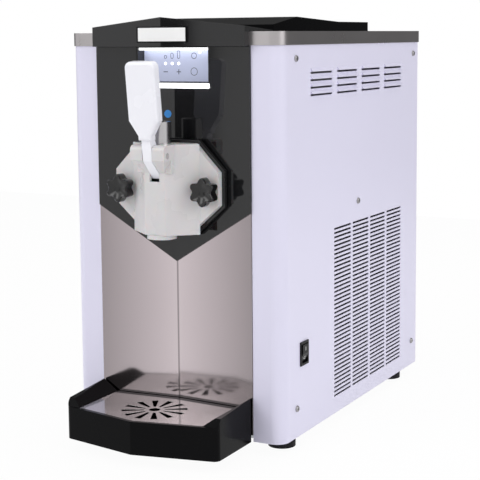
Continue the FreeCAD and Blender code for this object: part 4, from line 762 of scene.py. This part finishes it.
class ICE_OT_knobs(bpy.types.Operator):
    """Make the star knobs that hold the door"""

    bl_idname = "ice.knobs"
    bl_label = "Star knobs"

    # Lobes of the knob, points round each, and how deep the hollows between them go, as a share
    lobes = 6
    steps = 16
    lobe_depth = 0.27
    # The knob from its back to the middle of its front, in shares: width, height, how lobed it is
    profile = (
        (0.44, 0.0, 0.0), (0.47, 0.02, 0.0), (0.47, 0.2, 0.0), (0.6, 0.235, 0.35),
        (0.9, 0.25, 1.0), (0.97, 0.275, 1.0), (1.0, 0.34, 1.0), (1.0, 0.84, 1.0),
        (0.985, 0.91, 1.0), (0.95, 0.965, 1.0), (0.88, 1.0, 1.0), (0.78, 0.99, 0.85),
        (0.62, 0.95, 0.55), (0.45, 0.9, 0.3), (0.28, 0.865, 0.1), (0.12, 0.85, 0.0),
    )

    def execute(self, context):
        for side in ("left", "right"):
            low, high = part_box(f"knob_{side}")
            radius = (high.x - low.x) / 2
            middle = ((low.x + high.x) / 2, high.y, high.z - radius)
            at = facing(middle, (0, -1, 0))
            mesh = bmesh.new()
            rings = []
            for wide, deep, lobed in self.profile:
                outline = self.star(wide * radius, lobed)
                rings.append(ring(mesh, outline, at, deep * (high.y - low.y)))
            for below, above in zip(rings[:-1], rings[1:]):
                wall(mesh, below, above)
            cap(mesh, rings[0])
            mesh.faces.new(rings[-1])
            piece = add_piece(f"star_knob_{side}", mesh, "knob_black", f"{side}_knob")
            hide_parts(f"knob_{side}")
        return {"FINISHED"}

    def star(self, radius, lobed):
        """A rounded star with one lobe at the top."""
        count = self.lobes * self.steps
        points = []
        for step in range(count):
            angle = 2 * math.pi * step / count
            swing = (1 - math.cos(self.lobes * angle)) / 2
            reach = radius * (1 - self.lobe_depth * lobed * swing)
            points.append((reach * math.sin(angle), reach * math.cos(angle)))
        return points


class ICE_OT_tray(bpy.types.Operator):
    """Finish the drip tray and make its rayed grid"""

    bl_idname = "ice.tray"
    bl_label = "Drip tray"

    rays = 12
    # A corner this near to the plate's side lies on it
    near = 0.12 * MM

    def execute(self, context):
        dress("tray_black", "drip_tray")
        sizes = settings().sizes
        low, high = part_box("drip_grid")
        hub = (low.y + high.y) / 2
        corners = [corner.co for corner in NODES["drip_grid"].data.vertices]
        ends = [corner.y for corner in corners if high.x - corner.x < self.near]
        sides = [(high.x, min(ends)), (high.x, max(ends)), (0, high.y), (low.x, max(ends)),
                 (low.x, min(ends)), (0, low.y)]
        outlines = [[(x, y - hub) for x, y in sides], round_outline(sizes.grid_hole)]
        for step in range(self.rays):
            outlines.append(self.ray_outline(sizes, 2 * math.pi * step / self.rays))
        mesh = bmesh.new()
        at = Matrix.Translation((0, hub, low.z))
        raise_outlines(mesh, outlines, at, high.z - low.z)
        piece = add_piece("rayed_grid", mesh, "grid_steel", "grid", smooth=False)
        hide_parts("drip_grid")
        return {"FINISHED"}

    def ray_outline(self, sizes, angle):
        """A slot that widens outwards, at an angle about the middle of the grid."""
        root, tip = sizes.ray_root / 2, sizes.ray_tip / 2
        corners = [(-root, sizes.ray_start), (root, sizes.ray_start), (tip, sizes.ray_end),
                   (-tip, sizes.ray_end)]
        turn = Matrix.Rotation(angle, 2)
        return [tuple(turn @ Vector(corner)) for corner in corners]


class ICE_OT_hopper(bpy.types.Operator):
    """Finish the hopper, its feed tube and its lid"""

    bl_idname = "ice.hopper"
    bl_label = "Hopper"

    def execute(self, context):
        dress("hopper_steel", "mix_hopper")
        dress("bright_steel", "feed_tube")
        dress("lid_black", "hopper_lid")
        return {"FINISHED"}


class ICE_OT_inside(bpy.types.Operator):
    """Finish the freezing, driving and cooling parts inside"""

    bl_idname = "ice.inside"
    bl_label = "Inside"

    def execute(self, context):
        dress("bright_steel", "freezing_cylinder", "beater", "drive_shaft")
        dress("copper", "evaporator_jacket", "filter_drier")
        dress("foam", "insulation_jacket")
        dress("rubber", "shaft_seal")
        dress("gear_case", "gearbox")
        dress("motor_paint", "drive_motor", "fan_motor")
        dress("galvanised", "drive_bracket", "fan_strap", "fan_shroud")
        dress("fin_metal", "condenser")
        dress("compressor_black", "compressor")
        dress("satin_black", "condenser_fan", "control_box")
        return {"FINISHED"}


class ICE_OT_stage(bpy.types.Operator):
    """Set the floor, the soft lights and the camera"""

    bl_idname = "ice.stage"
    bl_label = "Stage"

    # Floor: half of its side in metres, its colour, and how much of it shows as plain white
    floor_half = 2.1
    floor_colour = (0.9, 0.9, 0.9, 1)
    floor_white = 0.95
    # The sky's colour, and how strongly it lights the machine
    white = (1, 1, 1, 1)
    sky = 0.62
    # The studio in front as mirrors show it: dark gaps between its lamps, by the sideways angle
    # in degrees, and the heights of a direction at which they begin and end
    gaps = ((-44, -37.5), (-18.5, -15.4))
    gap_soft = 0.5
    gap_level = 0.06
    gap_foot = (-0.16, -0.11)
    gap_head = (0.09, 0.03)
    # The studio behind: where it begins, its levels from left to right, and its level higher up
    back_start = (-0.05, 0.4)
    back_spread = (-0.45, 0.45)
    back_level = (0.02, 0.22)
    back_rise = (0.16, 0.36)
    back_high = 0.25
    # Soft lights: place, power in watts and width in metres, all aimed at the machine
    lights = {
        "front_light": ((-1.5, -2.4, 1.9), 26, 1.8),
        "side_light": ((2.6, -0.4, 1.5), 20, 1.8),
        "top_light": ((0.2, 0.1, 2.6), 14, 1.6),
    }
    aim = Vector((0, 0, 0.3))

    def execute(self, context):
        scene = context.scene
        scene.view_settings.view_transform = "Standard"
        self.lay_floor(scene)
        self.light_world(scene)
        for name, (place, power, width) in self.lights.items():
            lamp = bpy.data.lights.new(name, "AREA")
            lamp.energy = power
            lamp.size = width
            holder = bpy.data.objects.new(name, lamp)
            holder.location = place
            holder.rotation_mode = "QUATERNION"
            holder.rotation_quaternion = (self.aim - Vector(place)).to_track_quat("-Z", "Y")
            scene.collection.objects.link(holder)
        self.set_camera(scene)
        return {"FINISHED"}

    def seen_rays(self, tree):
        """A mask of the rays that show the background: seen, mirrored or passed through."""
        path = tree.nodes.new("ShaderNodeLightPath")
        seen = path.outputs["Is Camera Ray"]
        for label in ("Is Glossy Ray", "Is Transmission Ray"):
            seen = joined(tree, "MAXIMUM", seen, path.outputs[label])
        return seen

    def lay_floor(self, scene):
        """A pale floor that keeps the shadow and fades to white."""
        mesh = bmesh.new()
        bmesh.ops.create_grid(mesh, x_segments=1, y_segments=1, size=self.floor_half)
        data = bpy.data.meshes.new("floor")
        mesh.to_mesh(data)
        mesh.free()
        floor = bpy.data.objects.new("floor", data)
        scene.collection.objects.link(floor)
        material = bpy.data.materials.new("floor")
        material.use_nodes = True
        tree = material.node_tree
        tree.nodes.remove(tree.nodes["Principled BSDF"])
        matt = tree.nodes.new("ShaderNodeBsdfDiffuse")
        matt.inputs["Color"].default_value = self.floor_colour
        glow = tree.nodes.new("ShaderNodeEmission")
        mix = tree.nodes.new("ShaderNodeMixShader")
        shown = joined(tree, "MULTIPLY", self.seen_rays(tree), self.floor_white)
        tree.links.new(shown, mix.inputs["Fac"])
        tree.links.new(matt.outputs["BSDF"], mix.inputs[1])
        tree.links.new(glow.outputs["Emission"], mix.inputs[2])
        tree.links.new(mix.outputs["Shader"], tree.nodes["Material Output"].inputs["Surface"])
        data.materials.append(material)

    def light_world(self, scene):
        """An even sky that shows as white, and as the studio in mirrors."""
        world = bpy.data.worlds.new("studio")
        scene.world = world
        world.use_nodes = True
        tree = world.node_tree
        soft = tree.nodes["Background"]
        soft.inputs["Color"].default_value = self.white
        soft.inputs["Strength"].default_value = self.sky
        shown = tree.nodes.new("ShaderNodeBackground")
        shown.inputs["Color"].default_value = self.white
        path = tree.nodes.new("ShaderNodeLightPath")
        level = joined(tree, "MAXIMUM", path.outputs["Is Camera Ray"], self.mirror_level(tree))
        tree.links.new(level, shown.inputs["Strength"])
        mix = tree.nodes.new("ShaderNodeMixShader")
        tree.links.new(self.seen_rays(tree), mix.inputs["Fac"])
        tree.links.new(soft.outputs["Background"], mix.inputs[1])
        tree.links.new(shown.outputs["Background"], mix.inputs[2])
        tree.links.new(mix.outputs["Shader"], tree.nodes["World Output"].inputs["Surface"])

    def mirror_level(self, tree):
        """How bright the studio is in mirrors: lamps in front with dark gaps, dim behind."""
        place = tree.nodes.new("ShaderNodeTexCoord")
        split = tree.nodes.new("ShaderNodeSeparateXYZ")
        tree.links.new(place.outputs["Generated"], split.inputs["Vector"])
        x, y, z = (split.outputs[label] for label in "XYZ")
        turn = joined(tree, "ARCTAN2", x, joined(tree, "MULTIPLY", y, -1))
        soft = math.radians(self.gap_soft)
        dark = 0
        for start, end in self.gaps:
            start, end = math.radians(start), math.radians(end)
            begun = graded(tree, turn, start - soft, start + soft)
            unended = graded(tree, turn, end + soft, end - soft)
            dark = joined(tree, "MAXIMUM", dark, joined(tree, "MULTIPLY", begun, unended))
        for limit in (self.gap_foot, self.gap_head):
            dark = joined(tree, "MULTIPLY", dark, graded(tree, z, *limit))
        front = graded(tree, dark, 0, 1, 1, self.gap_level)
        low = graded(tree, x, *self.back_spread, *self.back_level)
        behind = graded(tree, z, *self.back_rise, low, self.back_high)
        return graded(tree, y, *self.back_start, front, behind)

    def set_camera(self, scene):
        """Stand the camera where the photograph was taken."""
        lens = bpy.data.cameras.new("camera")
        lens.sensor_width = SENSOR
        lens.lens = FOCAL / PICTURE * SENSOR
        lens.shift_y = (CENTRE_V - PICTURE / 2) / PICTURE
        ahead = Vector((-math.sin(YAW) * math.cos(PITCH), math.cos(YAW) * math.cos(PITCH),
                        -math.sin(PITCH)))
        level = Vector((math.cos(YAW), math.sin(YAW), 0))
        above = level.cross(ahead)
        right = math.cos(ROLL) * level + math.sin(ROLL) * above
        up = math.cos(ROLL) * above - math.sin(ROLL) * level
        turn = Matrix((right, up, -ahead)).transposed()
        camera = bpy.data.objects.new("camera", lens)
        camera.matrix_world = Matrix.Translation(CAMERA_AT) @ turn.to_4x4()
        scene.collection.objects.link(camera)
        scene.camera = camera


class MachineSettings(bpy.types.PropertyGroup):
    """All settings of the machine."""

    finishes: PointerProperty(type=FinishSettings, name="Finishes", description="Colours")
    sizes: PointerProperty(type=SizeSettings, name="Sizes", description="Sizes of details")


OPERATORS = (
    ICE_OT_finishes,
    ICE_OT_cabinet,
    ICE_OT_screws,
    ICE_OT_inlet,
    ICE_OT_switch,
    ICE_OT_front,
    ICE_OT_controls,
    ICE_OT_door,
    ICE_OT_knobs,
    ICE_OT_tray,
    ICE_OT_hopper,
    ICE_OT_inside,
    ICE_OT_stage,
)


class ICE_PT_machine(bpy.types.Panel):
    """Lists the steps that dress the machine"""

    bl_label = "Ice cream maker"
    bl_space_type = "VIEW_3D"
    bl_region_type = "UI"
    bl_category = "Ice cream"

    def draw(self, context):
        for operator in OPERATORS:
            self.layout.operator(operator.bl_idname)


CLASSES = (FinishSettings, SizeSettings, MachineSettings) + OPERATORS + (ICE_PT_machine,)


def register():
    """Register the classes and the settings."""
    for item in CLASSES:
        bpy.utils.register_class(item)
    bpy.types.Scene.ice_cream = PointerProperty(type=MachineSettings)


def unregister():
    """Take the settings and the classes away again."""
    del bpy.types.Scene.ice_cream
    for item in reversed(CLASSES):
        bpy.utils.unregister_class(item)


def main():
    """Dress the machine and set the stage."""
    register()
    for operator in OPERATORS:
        group, name = operator.bl_idname.split(".")
        getattr(getattr(bpy.ops, group), name)()


if __name__ == "__main__":
    main()
